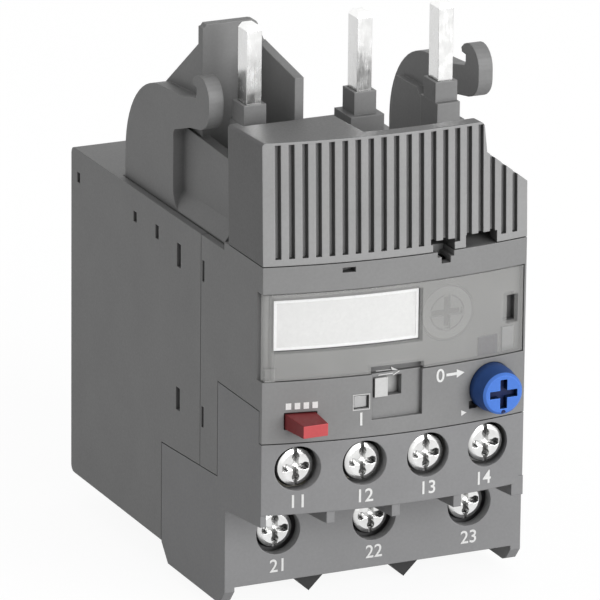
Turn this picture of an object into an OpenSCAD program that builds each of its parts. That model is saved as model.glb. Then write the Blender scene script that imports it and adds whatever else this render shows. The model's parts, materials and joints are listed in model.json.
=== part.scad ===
// Thermal overload relay, plug-on, three poles.
// x runs across the poles, y from the front to the back and z up.
// Heights are measured from the tips of the ridges between the wire entries,
// and depths from the flat face that carries the main terminals.

/* [Body] */
// Width of the body
body_w = 45; // [40:0.5:55]
// Depth from the main terminal face to the back
body_d = 53; // [48:0.5:64]
// Height of the top deck
deck_z = 52.6; // [51.6:0.1:54]
// Height of the lower edge of the front lip and of the rear floor
lip_z = 4.3; // [3.5:0.1:5]
// Height of the lower edge of the side skirts
skirt_z = 1.6; // [1:0.1:2.5]
// Wall thickness of the mouldings
wall = 1.6; // [1.2:0.1:2]
// Gap at the parting lines
seam = 0.15; // [0.1:0.05:0.3]
// Depth at which the front and rear housings meet
split_y = 8.5; // [8:0.1:9.5]
// Depth of the terminal block
block_d = 21.4; // [20.8:0.1:23]

/* [Front block] */
// Width of the projecting front block
front_w = 38.5; // [38:0.25:42]
// How far the crown of the front stands before the terminal face
bow_out = 14.6; // [14.2:0.1:17]
// Radius of the bowed front in plan
bow_r = 86; // [80:1:120]
// Height of the lower edge of the auxiliary terminal face
aux_z = 18.7; // [18.7:0.1:19.5]
// Height of the auxiliary terminal face
aux_h = 10.2; // [10:0.1:11]
// Height of the control panel
panel_h = 8.7; // [8.5:0.1:9.5]
// Height of the window
window_h = 12.4; // [12:0.1:14]
// Height of the name band
band_h = 3.9; // [3.5:0.1:4.5]

/* [Ribbed shroud] */
// Height of the shroud
shroud_h = 17.1; // [15:0.1:19]
// Thickness of the shroud's front wall
shroud_t = 2.3; // [2:0.1:2.6]
// Number of ribs
rib_count = 21; // [15:1:25]
// Distance of the outer grooves from the sides
rib_margin = 2.03; // [1.6:0.01:2.4]
// Backward lean of the shroud in degrees
lean = 2; // [0:0.5:3]
// Width of the grooves between the ribs
groove_w = 0.8; // [0.5:0.05:1]
// Depth of the grooves
groove_d = 0.9; // [0.5:0.05:1.2]
// Width of the cut-away at the right top corner
shroud_cut_w = 6.85; // [5:0.1:8]
// Height of the shroud's right edge above its lip
shroud_right_h = 7.8; // [6:0.1:10]

/* [Contactor pins] */
// Width of a pin
pin_w = 2.2; // [1.8:0.1:2.6]
// Depth of a pin
pin_t = 2.9; // [2.4:0.1:3.2]
// Height of the pins above the deck
pin_rise = 29.6; // [27:0.1:32]
// Depth of the pins' front faces
pin_y = 5; // [4.8:0.1:5.4]
// Distance from the middle pin to the left pin
pin_left = 16.4; // [15.9:0.1:16.6]
// Distance from the middle pin to the right pin
pin_right = 12.2; // [11.5:0.1:12.6]

/* [Hooks] */
// Distance of the hooks' outer faces from the middle
hook_out = 21.3; // [20.6:0.1:21.4]
// Thickness of a hook plate
hook_t = 2.15; // [1.8:0.05:2.4]
// Height of the hook plates above the deck
hook_h = 17; // [15:0.1:18]
// Depth of the rear edge of the hook plates
hook_back = 36.8; // [35:0.1:40]
// Thickness of the deck
deck_t = 1.6; // [1.4:0.1:1.8]
// Height of the guard behind the left pin, above the deck
guard_h = 27.2; // [24:0.1:29]

/* [Main terminals] */
// Distance between the main terminals
main_pitch = 14.5; // [14:0.1:15]
// Height of the main screws
main_z = 11.5; // [11:0.1:12]
// Radius of the holes over the main screws
main_hole_r = 3.3; // [3.1:0.05:3.5]
// Radius of the main screw heads
main_head_r = 2.85; // [2.5:0.05:2.95]
// Radius of the main screw threads
main_shank_r = 1.5; // [1.4:0.05:1.6]
// Travel of the main clamps
main_travel = 4; // [3:0.1:4.2]
// Largest wire gap of the main clamps
main_gap = 5; // [4.8:0.1:5.2]

/* [Auxiliary terminals] */
// Distance between the auxiliary terminals
aux_pitch = 9.27; // [9:0.01:9.3]
// Distance of the first auxiliary screw from the left side
aux_first = 4.9; // [4.9:0.05:5.1]
// Height of the auxiliary screws
aux_screw_z = 25.2; // [25:0.1:25.4]
// Radius of the holes over the auxiliary screws
aux_hole_r = 3.15; // [3.05:0.05:3.2]
// Radius of the auxiliary screw heads
aux_head_r = 2.85; // [2.4:0.05:2.9]
// Radius of the auxiliary screw threads
aux_shank_r = 1.25; // [1.1:0.05:1.3]
// Travel of the auxiliary clamps
aux_travel = 2; // [1.5:0.1:2]
// Largest wire gap of the auxiliary clamps
aux_gap = 4.4; // [4.3:0.1:4.6]

/* [Controls] */
// Distance of the reset knob from the right side of the front block
reset_in = 5.5; // [5:0.1:6]
// Height of the reset knob
reset_z = 33.6; // [33.2:0.1:34]
// Radius of the reset knob
reset_r = 3.3; // [3:0.1:3.4]
// How far the reset knob stands out
reset_out = 4; // [3:0.1:5]
// Press travel of the reset knob
reset_travel = 2.5; // [1.5:0.1:2.5]
// Width of the stop button
stop_w = 4.2; // [3.6:0.1:4.4]
// Height of the stop button
stop_h = 2.1; // [1.8:0.1:2.6]
// Press travel of the stop button
stop_travel = 2; // [1:0.1:2]
// Radius of the setting dial
dial_r = 3.9; // [3.5:0.1:4.1]
// Distance of the setting dial from the middle
dial_x = 4.2; // [4:0.1:4.4]
// Travel of the test slider
test_travel = 2.1; // [1.5:0.1:2.2]

/* [Trip mechanism] */
// Thickness of the bimetal strips
strip_t = 0.8; // [0.6:0.05:1]
// Width of the bimetal strips
strip_w = 6; // [5:0.1:6.2]
// Turns of each heater winding
heater_turns = 8; // [5:1:9]
// Travel of the trip slide
trip_travel = 2.5; // [2:0.1:2.6]
// Travel of the contact carrier
carrier_travel = 1.6; // [1.2:0.1:1.6]

/* [Hidden] */
$fn = 48;

gap = 0.3;            // clearance of what moves
fit = 0.05;           // radial clearance of a shaft
bow_n = 21;           // flat steps of the bowed front
half_w = body_w / 2;
front_l = -half_w;
front_r = front_l + front_w;
reset_x = front_r - reset_in;
bow_step = front_w / bow_n;
panel_z = aux_z + aux_h;
window_z = panel_z + panel_h;
band_z = window_z + window_h;
rib_z = band_z + band_h;
shroud_top = rib_z + shroud_h;
deck_low = deck_z - deck_t;
deck_y = 1;
hook_in = hook_out - hook_t;
cheek_x = hook_in + 0.5;
pin_x = [-pin_left, 0, pin_right];
main_x = [-main_pitch, 0, main_pitch];
aux_x = [for (i = [0:3]) front_l + aux_first + i * aux_pitch];
block_top = aux_z - 0.1;
origin_y = -(body_d + bow(reset_x) - reset_out) / 2;

// Main clamp: head, web, clamp and bar one behind the other
main_head_y = 1.1;
main_head_t = 1.8;
main_web_y = main_head_y + main_head_t + gap;
main_web_t = 1;
main_bar_y = 10.5;
main_bar_t = 1.2;
main_bar_w = 6;
main_clamp_t = 1.3;
main_clamp_w = 9;
main_clamp_h = 9;
main_clamp_y = main_bar_y - 0.7 - main_clamp_t;
main_clamp_back = main_bar_y + main_bar_t + main_gap;
main_cell_w = main_clamp_w + 2 * gap;
main_cell_top = block_top - 1.4;

// Auxiliary clamp
aux_head_in = 0.7;
aux_head_t = 1.5;
aux_bar_y = -6.9;
aux_bar_t = 0.8;
aux_bar_w = 4.4;
aux_clamp_t = 1;
aux_clamp_w = 6.8;
aux_clamp_low = 21;
aux_clamp_top = aux_screw_z + aux_shank_r + 0.6;
aux_clamp_y = aux_bar_y - 0.2 - aux_clamp_t;
aux_clamp_back = aux_bar_y + aux_bar_t + aux_gap;
aux_cell_w = aux_clamp_w + 2 * 0.65;
aux_cell_back = -0.4;
aux_ceiling = panel_z - seam - 1.1;
contact_y = -1;          // front face of the risers that carry the fixed contacts
contact_z = 39.5;        // height of the contacts
jog_z = 30.8;            // height at which the auxiliary bars turn back

// Conductors and trip mechanism
strap_z = 44.8;
strap_t = 1.2;
strip_y = 27;
strip_low = 20.8;
strip_top = 47.6;
bar_run_z = strip_low - main_bar_t;
slide_z = 46.6;
slide_t = 1.6;
heater_low = 23;
heater_pitch = 2.4;
heater_strip = 1.3;
heater_t = 0.6;
lever_x = 7.6;
lever_y = 6.5;
lever_r = 1.6;
lever_pin_r = 0.75;
lever_arm = 8;
flange_t = 0.8;
flange_z = panel_z + 4.4;

// Window
cover_t = 1;
cover_gap = 0.05;
recess = 1.35;
hinge_x = front_l + 0.9;
hinge_in = 0.85;
hinge_r = 0.75;
hinge_pin_r = 0.5;
dial_z = window_z + 6.95;
stop_x = front_l + 5.2;
stop_z = panel_z + 3.1;
stop_out = 4.2;
test_x = -6.05;
test_z = panel_z + 6.75;
flag_x = -8.92;
flag_z = panel_z + 5;
flag_y = bow_at(flag_x, 0) + wall + 0.5;
flag_travel = 1.8;

// Depth of the bowed front at x, at a distance of "off" behind its surface.
// The bow has flat steps at fixed stations, so that what follows it lies flush.
function bow_at(x, off) = bow_r - bow_out - sqrt(pow(bow_r - off, 2) - x * x);
function bow(x, off = 0) = let (k = floor((x - front_l) / bow_step), a = front_l + k * bow_step,
    t = (x - a) / bow_step) bow_at(a, off) * (1 - t) + bow_at(a + bow_step, off) * t;
function bow_line(x0, x1, off) = concat(
    [[x0, bow(x0, off)]],
    [for (k = [-1:bow_n + 1]) let (x = front_l + k * bow_step)
        if (x > x0 + 0.05 && x < x1 - 0.05) [x, bow(x, off)]],
    [[x1, bow(x1, off)]]);
function back_line(points) = [for (i = [len(points) - 1:-1:0]) points[i]];
function arc(c, rx, ry, a0, a1, n) =
    [for (i = [0:n]) let (a = a0 + (a1 - a0) * i / n) c + [rx * cos(a), ry * sin(a)]];

// Height of the line where the terminal block meets the housings, at depth y
function lid_z(y) = aux_z - 0.1 + (block_d - y) * 0.06;

module place() translate([0, origin_y, 0]) children();
module block(x0, x1, y0, y1, z0, z1) translate([x0, y0, z0]) cube([x1 - x0, y1 - y0, z1 - z0]);
// An outline in y and z, drawn from x0 to x1
module yz(x0, x1) translate([x0, 0, 0]) rotate([90, 0, 90]) linear_extrude(x1 - x0) children();
// An outline in x and z, drawn from y0 to y1
module xz(y0, y1) translate([0, y1, 0]) rotate([90, 0, 0]) linear_extrude(y1 - y0) children();
// A round bar along y
module rod(x, z, y0, y1, r) translate([x, y0, z]) rotate([-90, 0, 0]) cylinder(r = r, h = y1 - y0);
// A bowed slab that follows the front, from off0 to off1 behind its surface
module slab(x0, x1, z0, z1, off0, off1)
    translate([0, 0, z0]) linear_extrude(z1 - z0)
        polygon(concat(bow_line(x0, x1, off0), back_line(bow_line(x0, x1, off1))));
// A block whose front follows the bow and whose back is flat
module bowed_block(x0, x1, y1, z0, z1, off)
    translate([0, 0, z0]) linear_extrude(z1 - z0)
        polygon(concat(bow_line(x0, x1, off), [[x1, y1], [x0, y1]]));
module both_sides() for (side = [0, 1]) mirror([side, 0, 0]) children();

module rear_housing() place() color("dimgray") difference() {
    union() {
        difference() {
            yz(-half_w, half_w) polygon(concat(
                arc([body_d - 1, deck_z - 1], 1, 1, 0, 90, 5),
                [[split_y, deck_z], [split_y, lid_z(split_y) + seam], [block_d, lid_z(block_d) + seam],
                 [block_d, lip_z]],
                arc([body_d - 1, lip_z + 1], 1, 1, 270, 360, 5)));
            block(-half_w + wall, half_w - wall, split_y - 1, body_d - wall, lip_z + wall, deck_z - wall);
            block(-half_w + wall, half_w - wall, split_y - 1, block_d + wall, 0, lip_z + 2 * wall);
        }
        // Walls between the phases, which also carry the trip slide
        for (side = [-1, 1])
            block(side * main_pitch / 2 - 0.6, side * main_pitch / 2 + 0.6, block_d + 0.6,
                  body_d - wall / 2, lip_z + wall / 2, slide_z - gap);
    }
    block(-hook_out - seam, hook_out + seam, split_y - 1, hook_back + 0.4 + seam, deck_low, deck_z + 1);
    both_sides() side_slots();
    // Cooling slots in the top behind the hooks
    for (i = [-3:3])
        block(i * 5.2 - 1.6, i * 5.2 + 1.6, hook_back + 5, hook_back + 6.2, deck_z - wall - 1, deck_z + 1);
}

// Slots in a side wall for the snap tongues: depth, height, width, tall
module side_slots()
    for (s = [[body_d - 2.6, 48.6, 1, 1.5], [30.7, 48.6, 1.1, 1.5], [23.2, 48.6, 1.1, 2],
              [15.8, 47.4, 1.3, 3.4], [15.9, 26.7, 1.3, 3.3]])
        block(-half_w - 1, -half_w + wall / 2, s[0] - s[2] / 2, s[0] + s[2] / 2,
              s[1] - s[3] / 2, s[1] + s[3] / 2);

// Outline of a hook plate: a hump at the back, a notch and a claw at the front
function hook_outline() = let (top = deck_z + hook_h) concat(
    [[17.8, deck_z - 0.1], [hook_back, deck_z - 0.1]],
    arc([hook_back - 12.3, top - 12.9], 12.3, 12.3, 0, 90, 14),
    [[17.5, top - 0.1]],
    arc([13.7, top + 1.5], 0.8, 0.8, 250, 180, 4),
    [[12.9, top + 2.4], [14.1, top + 2.5], [14.3, top + 3.1]],
    arc([11.9, top + 1.2], 3.1, 3, 60, 180, 8),
    arc([13.1, top - 0.3], 4.3, 3.2, 180, 262, 8),
    [[15, top - 3.9], [19.6, top - 5.4]],
    arc([19.6, top - 6.4], 1, 1, 80, 0, 4),
    arc([17.8, deck_z + 2.8], 2.8, 2.8, 0, -90, 6));

module hook_deck() place() color("gray") difference() {
    union() {
        block(-hook_out, hook_out, deck_y, hook_back + 0.4, deck_low, deck_z);
        both_sides() {
            yz(-hook_out, -hook_in) polygon(hook_outline());
            // Ramp at the foot of the cheek
            xz(3.4, 20.7) polygon([[-hook_out, deck_z - 0.1], [-cheek_x + 0.1, deck_z - 0.1],
                                   [-cheek_x + 0.1, deck_z + 2.6], [-hook_out, deck_z + 0.2]]);
        }
        // Cheek inside the left hook, and the lower one inside the right hook
        yz(-cheek_x, -cheek_x + 1.6) polygon(concat(
            [[3.4, deck_z - 0.1], [hook_back - 4, deck_z - 0.1]],
            arc([hook_back - 8, deck_z + 8], 4, 4, 0, 90, 6),
            arc([6, deck_z + 8.4], 2.6, 2.6, 90, 180, 5)));
        yz(cheek_x - 1.6, cheek_x) polygon([
            [4, deck_z - 0.1], [hook_back - 2.2, deck_z - 0.1], [hook_back - 2.6, deck_z + 4.5],
            [hook_back - 3.3, deck_z + 8.2], [hook_back - 4.3, deck_z + 11.2],
            [26, deck_z + 11.3], [25, deck_z + 10.3], [23.2, deck_z + 9.8], [14, deck_z + 9.8],
            [14, deck_z + 5.2], [5, deck_z + 5.2]]);
        guard();
        // Bridge that carries the pin collars
        block(-hook_in - 0.1, pin_right + pin_w / 2 + 1.5, pin_y - 2, pin_y + pin_t + 2,
              deck_z - 0.1, deck_z + 8);
        for (i = [0:2]) {
            x = pin_x[i];
            foot = i == 1 ? pin_w / 2 + 1.4 : pin_w / 2 + 0.6;
            foot_h = i == 1 ? 15.4 : 15.8;
            block(x - foot, x + foot, pin_y - 1.2, pin_y + pin_t + 1.2, deck_z, deck_z + foot_h);
            block(x - pin_w / 2 - 0.55, x + pin_w / 2 + 0.55, pin_y - 0.4, pin_y + pin_t + 0.4,
                  deck_z, deck_z + 18.6);
        }
    }
    for (x = pin_x)
        block(x - pin_w / 2 - fit, x + pin_w / 2 + fit, pin_y - fit, pin_y + pin_t + fit,
              deck_low - 1, deck_z + pin_rise);
}

// Guard round the left pin: a wall behind it, a stay to the hook and a barrier at its right
module guard() {
    left = -hook_in;
    right = -pin_left + 5.4;
    back = 15.6;
    xz(back, back + 1.4) polygon(concat(
        [[left - 0.1, deck_z - 0.1], [right + 1.3, deck_z - 0.1], [right + 1.3, deck_z + guard_h - 4],
         [right, deck_z + guard_h - 1]],
        arc([right - 1, deck_z + guard_h - 1], 1, 1, 0, 90, 4),
        [[left + 0.5, deck_z + guard_h], [left + 0.2, deck_z + guard_h - 0.4],
         [left - 0.1, deck_z + guard_h - 0.5]]));
    yz(left - 0.1, left + 1.2) polygon([
        [back, deck_z - 0.1], [back + 13.2, deck_z - 0.1], [back + 13.2, deck_z + hook_h - 1.8],
        [back + 1.5, deck_z + guard_h - 3.1], [back, deck_z + guard_h - 3.1]]);
    yz(right, right + 1.3) polygon([
        [back + 0.5, deck_z - 0.1], [back + 0.5, deck_z + guard_h - 3.2], [3.6, deck_z + guard_h - 5.2],
        [3.6, deck_z - 0.1]]);
}

module ribbed_shroud() place() color("darkgray") difference() {
    // The whole shroud leans back from the front edge of its lip
    translate([0, -bow_out, rib_z]) rotate([-lean, 0, 0]) translate([0, bow_out, -rib_z]) shroud();
    block(front_l - 1, front_r + 1, -bow_out - 1, 3, rib_z - 3, rib_z);
}

module shroud() difference() {
    left = front_l;
    block_r = front_l + 14.7;
    union() {
        intersection() {
            union() {
                slab(left, front_r, rib_z, shroud_top, 0, shroud_t);
                bowed_block(left, left + 1.4, -0.6, rib_z, shroud_top, 0.4);
                bowed_block(front_r - 1.3, front_r, -2.4, rib_z, shroud_top, 0.4);
            }
            xz(-bow_out - 1, 1) polygon(concat(
                [[left, rib_z], [front_r, rib_z], [front_r, rib_z + shroud_right_h],
                 [front_r - shroud_cut_w + 0.35, shroud_top - 4.3]],
                arc([front_r - shroud_cut_w - 0.8, shroud_top - 0.8], 0.8, 0.8, 0, 90, 5),
                arc([left + 0.5, shroud_top - 0.5], 0.5, 0.5, 90, 180, 4)));
        }
        // Floor above the notches, and roof over the left pole
        bowed_block(left + 0.3, front_r - 0.3, -2.4, rib_z + 2.1, rib_z + 3.1, 0.4);
        bowed_block(left + 0.3, block_r, -2.4, shroud_top - 1.5, shroud_top, 0.4);
        block(block_r - 1.3, block_r, -10.5, -2.4, shroud_top - 6, shroud_top - 1);
    }
    for (i = [0:rib_count - 2]) {
        x = front_l + rib_margin + i * (front_w - 2 * rib_margin) / (rib_count - 2);
        top = x > front_r - shroud_cut_w - 0.4 ? shroud_top + 1 : shroud_top - 0.35;
        block(x - groove_w / 2, x + groove_w / 2, bow(x) - 1, bow(x) + groove_d, rib_z + 1, top);
    }
    // Notches in the lip for tools
    block(1.2, 4.5, -bow_out - 1, -bow_out + 4, rib_z - 1, rib_z + 1.5);
    block(6.2, 11.1, -bow_out - 1, -bow_out + 4, rib_z - 1, rib_z + 1.7);
}

module front_housing() place() color("gray") difference() {
    union() {
        difference() {
            union() {
                bowed_block(front_l, front_r, deck_y - seam, panel_z, rib_z - seam, 0);
                block(-half_w, half_w, 0, split_y - seam, panel_z, deck_z);
                yz(-half_w, half_w) polygon([[2.75, panel_z + 1], [2.75, lid_z(2.75) + seam],
                    [split_y - seam, lid_z(split_y) + seam], [split_y - seam, panel_z + 1]]);
            }
            bowed_block(front_l + wall, front_r - wall, 4, panel_z + 1.5, rib_z - wall, wall);
            block(-half_w + wall, half_w - wall, wall, split_y, panel_z + 1.5, deck_low - seam - wall);
            block(-half_w + wall, half_w - wall, 2.75 + wall, split_y, lid_z(2.75) + wall, panel_z + 2);
            block(-half_w + wall, half_w - wall, deck_y + gap, split_y, panel_z + 4, deck_z + 1);
            block(-hook_out - seam, hook_out + seam, deck_y - seam, split_y, deck_low - seam, deck_z + 1);
        }
        // Floor of the window, guide of the knob and seats of the two springs
        slab(front_l + 0.2, front_r - 0.2, window_z - 1, band_z + 1, 1, recess + wall);
        rod(reset_x, reset_z, bow(reset_x) + 1, bow(reset_x) + 5.5, reset_r + fit + 1);
        block(reset_x - 1.9, front_r - 1, -2.6, -1.7, reset_z - 1.6, reset_z + 1.8);
        block(front_l + 1, stop_x + 1.2, -4.6, -3.8, stop_z + 0.2, stop_z + 2.6);
        // Rail beside the trip flag
        block(flag_x - 2.4, flag_x - 1.5, bow(flag_x) + 1, flag_y + 1.2, flag_z - 2.6, flag_z + 1.4);
    }
    // Window recess, with the hinge trough at its left end
    slab(front_l - 0.5, front_r - 0.3, window_z, band_z, -1, recess);
    block(front_l - 1, hinge_x + hinge_r + 0.5, bow(front_l) - 1, bow(hinge_x) + hinge_in + hinge_r + gap,
          window_z, band_z);
    for (z = [window_z - 0.9, band_z - 0.1])
        translate([hinge_x, bow(hinge_x, hinge_in), z]) cylinder(r = hinge_pin_r + fit, h = 1);
    // Rebate for the flange of the terminal block
    block(-half_w - 1, -half_w + flange_t + seam, bow(front_l) + 0.7, 2.75, panel_z - 1, flange_z + seam);
    rod(dial_x, dial_z, -bow_out - 1, -8, dial_r + 0.15);
    rod(reset_x, reset_z, -bow_out - 1, -6, reset_r + fit);
    block(stop_x - stop_w / 2 - 0.15, stop_x + stop_w / 2 + 0.15, -bow_out, -9,
          stop_z - stop_h / 2 - 0.15, stop_z + stop_h / 2 + 0.15);
    block(flag_x - 1.08, flag_x + 1.05, -bow_out - 1, bow(flag_x) + wall + 0.4, flag_z - 0.9, flag_z + 0.9);
    // Test recess and its track, with room behind for the slider's flange and the flag
    block(-7.45, -0.1, -bow_out - 1, bow(test_x) + 0.5, panel_z + 2.3, window_z + 0.4);
    block(test_x - 1.05, test_x + test_travel + 1.05, -bow_out - 1, -11, test_z - 1.4, test_z + 1.4);
    block(flag_x - 1.45, test_x + 2 * test_travel + 1.7, bow(flag_x) + wall, -10,
          window_z - 1.1, window_z - 0.05);
    // Seal slot, name band slot, catch pocket by the knob and tool notch
    block(12.9, 14.8, -bow_out - 1, -11, window_z + 4.4, window_z + 8.4);
    block(-11.8, -9.95, -bow_out - 1, -12.6, rib_z - 1.5, rib_z - 0.8);
    block(7.1, 8.4, -bow_out - 1, bow(8) + 1.2, panel_z + 1.9, panel_z + 3);
    block(1.9, 4.4, -bow_out - 1, -bow_out + 3.5, rib_z - 0.9, rib_z + 1);
    block(2.5, 3.9, -bow_out - 1, -bow_out + 3.5, rib_z - 1.8, rib_z);
    // Slots for the auxiliary bars
    for (x = aux_x)
        block(x - aux_bar_w / 2 - fit, x + aux_bar_w / 2 + fit, aux_bar_y - fit,
              aux_bar_y + aux_bar_t + fit, panel_z - 1, panel_z + 2);
    both_sides() for (z = [26.7, 47.6])
        block(-half_w - 1, -half_w + wall / 2, split_y - 1.2, split_y - 0.5, z - 1.5, z + 1.5);
}

module terminal_block() place() color("gray") difference() {
    union() {
        yz(-half_w, half_w) polygon([[0, lip_z], [block_d - seam, lip_z], [block_d - seam, lid_z(block_d)],
                                     [2.6, lid_z(2.6)], [2.6, panel_z - seam], [0, panel_z - seam]]);
        // Flange on the left side, let into the front housing
        yz(-half_w, -half_w + flange_t) polygon([
            [2.6, aux_z], [2.6, flange_z], [bow(front_l) + 0.8, flange_z], [bow(front_l) + 0.8, aux_z + 1]]);
        bowed_block(front_l, front_r, 1, aux_z, panel_z - seam, 0);
        // Walls that hang below the auxiliary terminals
        for (x = aux_walls())
            yz(x[0], x[1]) polygon([[bow(x[0], 0.1), aux_z + 1], [bow(x[0], 0.1), aux_z - 1.7],
                                    [0.5, aux_z - 3.1], [0.5, aux_z + 1]]);
        // Skirts at the sides and ridges between the wire entries
        both_sides() yz(-half_w, -half_w + 1.5) polygon(concat(
            [[0, lip_z + 0.1], [0, lip_z - 0.6], [1.4, skirt_z + 0.4], [2.4, skirt_z]],
            [[19, skirt_z], [block_d - seam, lip_z - 0.2], [block_d - seam, lip_z + 0.1]]));
        for (side = [-1, 1]) ridge(side * main_pitch / 2);
    }
    for (x = main_x) {
        block(x - main_cell_w / 2, x + main_cell_w / 2, main_web_y + main_web_t, 19.3, -1, main_cell_top);
        block(x - main_cell_w / 2, x + main_cell_w / 2, wall, main_web_y, lip_z + 2.5, main_cell_top);
        rod(x, main_z, -1, main_web_y, main_hole_r);
        rod(x, main_z, 0, main_web_y + 2, main_shank_r + fit);
        block(x - main_bar_w / 2 - fit, x + main_bar_w / 2 + fit, main_bar_y - fit,
              main_bar_y + main_bar_t + fit, main_cell_top - 1, block_top + 1);
    }
    for (x = aux_x) {
        bowed_block(x - aux_cell_w / 2, x + aux_cell_w / 2, aux_cell_back, aux_z - 5, aux_ceiling, wall);
        rod(x, aux_screw_z, -bow_out - 1, bow(x) + aux_head_in + aux_head_t + gap, aux_hole_r);
        block(x - aux_bar_w / 2 - fit, x + aux_bar_w / 2 + fit, aux_bar_y - fit,
              aux_bar_y + aux_bar_t + fit, aux_ceiling - 1, panel_z + 1);
    }
}

// Left and right faces of the walls between and beside the auxiliary cells
function aux_walls() = concat(
    [[front_l, aux_x[0] - aux_cell_w / 2]],
    [for (i = [0:2]) [aux_x[i] + aux_cell_w / 2, aux_x[i + 1] - aux_cell_w / 2]],
    [[aux_x[3] + aux_cell_w / 2, front_r]]);

// Ridge between two wire entries, with a keel-shaped lower edge
module ridge(x) {
    half = (main_pitch - main_cell_w) / 2;
    xz(5.5, 19) polygon([[x - half, lip_z + 0.1], [x - half, 2.4], [x, 0], [x + half, 2.4],
                         [x + half, lip_z + 0.1]]);
}

module label_plate() place() color("white")
    slab(hinge_x + hinge_r + gap, -1, window_z + 4.6, window_z + 11.1, recess - 0.25, recess);

module window_cover() place() color([0.75, 0.75, 0.75, 0.6]) union() {
    low = window_z + seam;
    high = band_z - seam;
    difference() {
        slab(hinge_x, front_r - 0.45, low, high, cover_gap, cover_gap + cover_t);
        // Clear of the test recess, and open at the seal slot
        block(-7.6, 0.1, -bow_out - 1, -10, window_z - 1, window_z + 1.1);
        block(12.9, 14.7, -bow_out - 1, -10, window_z + 4.4, window_z + 8.4);
    }
    translate([hinge_x, bow(hinge_x, hinge_in), low]) cylinder(r = hinge_r, h = high - low);
    translate([hinge_x, bow(hinge_x, hinge_in), low - 0.7])
        cylinder(r = hinge_pin_r, h = high - low + 1.4);
    // Finger tab on the barrel
    slab(front_l + 0.25, front_l + 1.6, low, low + 1.9, -0.3, 0.4);
}

module setting_dial() place() color("lightgray") difference() {
    face = bow(dial_x) + recess + 0.1;
    union() {
        rod(dial_x, dial_z, face, face + 1.4, dial_r);
        rod(dial_x, dial_z, face + 1, -3.5, 1.2);
        rod(dial_x + 0.6, dial_z, -5, -3.5, 1.7);
    }
    for (a = [0, 90])
        translate([dial_x, face, dial_z]) rotate([0, a, 0]) cube([4.8, 1.2, 1], center = true);
}

module reset_knob() place() color("royalblue") translate([reset_x, 0, reset_z]) difference() {
    front = bow(reset_x) - reset_out;
    union() {
        translate([0, front, 0]) rotate([-90, 0, 0]) rotate_extrude()
            polygon([[0, 0], [reset_r - 0.7, 0], [reset_r - 0.35, 0.35], [reset_r, 2.6],
                     [reset_r, 6.2], [0, 6.2]]);
        rod(0, 0, front + 6, front + 9.2, 1.2);
    }
    for (a = [0, 90])
        translate([0, front, 0]) rotate([0, a, 0]) cube([4.1, 2, 1.05], center = true);
}

module reset_plunger() place() color("gainsboro") translate([reset_x, 0, reset_z]) difference() {
    back = bow(reset_x) - reset_out + 11;
    rod(0, 0, back - 4.6, back, 1.7);
    rod(0, 0, back - 5, back - 1.5, 1.2 + fit);
}

module reset_spring() place() color("silver") translate([reset_x, 0, reset_z])
    coil(bow(reset_x) - reset_out + 11.05, -2.65, 1.25, 0.2, 5);

module stop_button() place() color("firebrick") union() {
    face = bow(stop_x);
    in_y = bow(stop_x - stop_w / 2 - 0.6) + wall + gap;
    hull() {
        block(stop_x - stop_w / 2, stop_x + stop_w / 2, face, face + 0.4,
              stop_z - stop_h / 2, stop_z + stop_h / 2);
        block(stop_x - stop_w / 2 + 0.6, stop_x + stop_w / 2, face - stop_out, face - stop_out + 0.2,
              stop_z - stop_h / 2, stop_z + stop_h / 2 - 0.4);
    }
    block(stop_x - stop_w / 2, stop_x + stop_w / 2, face + 0.2, in_y + 0.2,
          stop_z - stop_h / 2, stop_z + stop_h / 2);
    block(stop_x - stop_w / 2 - 0.6, stop_x + stop_w / 2 + 0.6, in_y, in_y + 1,
          stop_z - stop_h / 2 - 0.2, stop_z + stop_h / 2 + 0.9);
}

module stop_spring() place() color("silver") translate([stop_x, 0, stop_z + 1.2])
    coil(bow(stop_x - stop_w / 2 - 0.6) + wall + gap + 1.05, -4.65, 0.7, 0.15, 6);

// A coil spring along y, from y0 to y1
module coil(y0, y1, r, wire, turns) {
    steps = 10;
    sides = 6;
    n = turns * steps;
    length = y1 - y0 - 2 * wire;
    function ring(i) = let (a = 360 * i / steps, y = y0 + wire + length * i / n) [
        for (k = [0:sides - 1]) let (b = 360 * k / sides, q = r + wire * cos(b))
            [q * cos(a), y + wire * sin(b), q * sin(a)]];
    points = [for (i = [0:n]) each ring(i)];
    polyhedron(points = points, faces = concat(
        [[for (k = [0:sides - 1]) k]],
        [for (i = [0:n - 1]) for (k = [0:sides - 1])
            [i * sides + k, (i + 1) * sides + k, (i + 1) * sides + (k + 1) % sides,
             i * sides + (k + 1) % sides]],
        [[for (k = [sides - 1:-1:0]) n * sides + k]]), convexity = 8);
}

module test_slider() place() color("whitesmoke") union() {
    block(test_x - 0.95, test_x + 0.95, bow(test_x) + 0.1, bow(test_x) + 2.4, test_z - 1.35, test_z + 1.35);
    // Flange behind the wall, which also closes the free end of the track
    block(test_x - 1.3, test_x + test_travel + 1.3, bow(test_x) + wall + gap, bow(test_x) + wall + 1.1,
          test_z - 1.75, test_z + 1.6);
}

module trip_flag() place() color("gainsboro")
    block(flag_x - 1.2, flag_x + 1.15, flag_y, flag_y + 0.7, flag_z - 1.1 - flag_travel, flag_z + 1.1);

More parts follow.
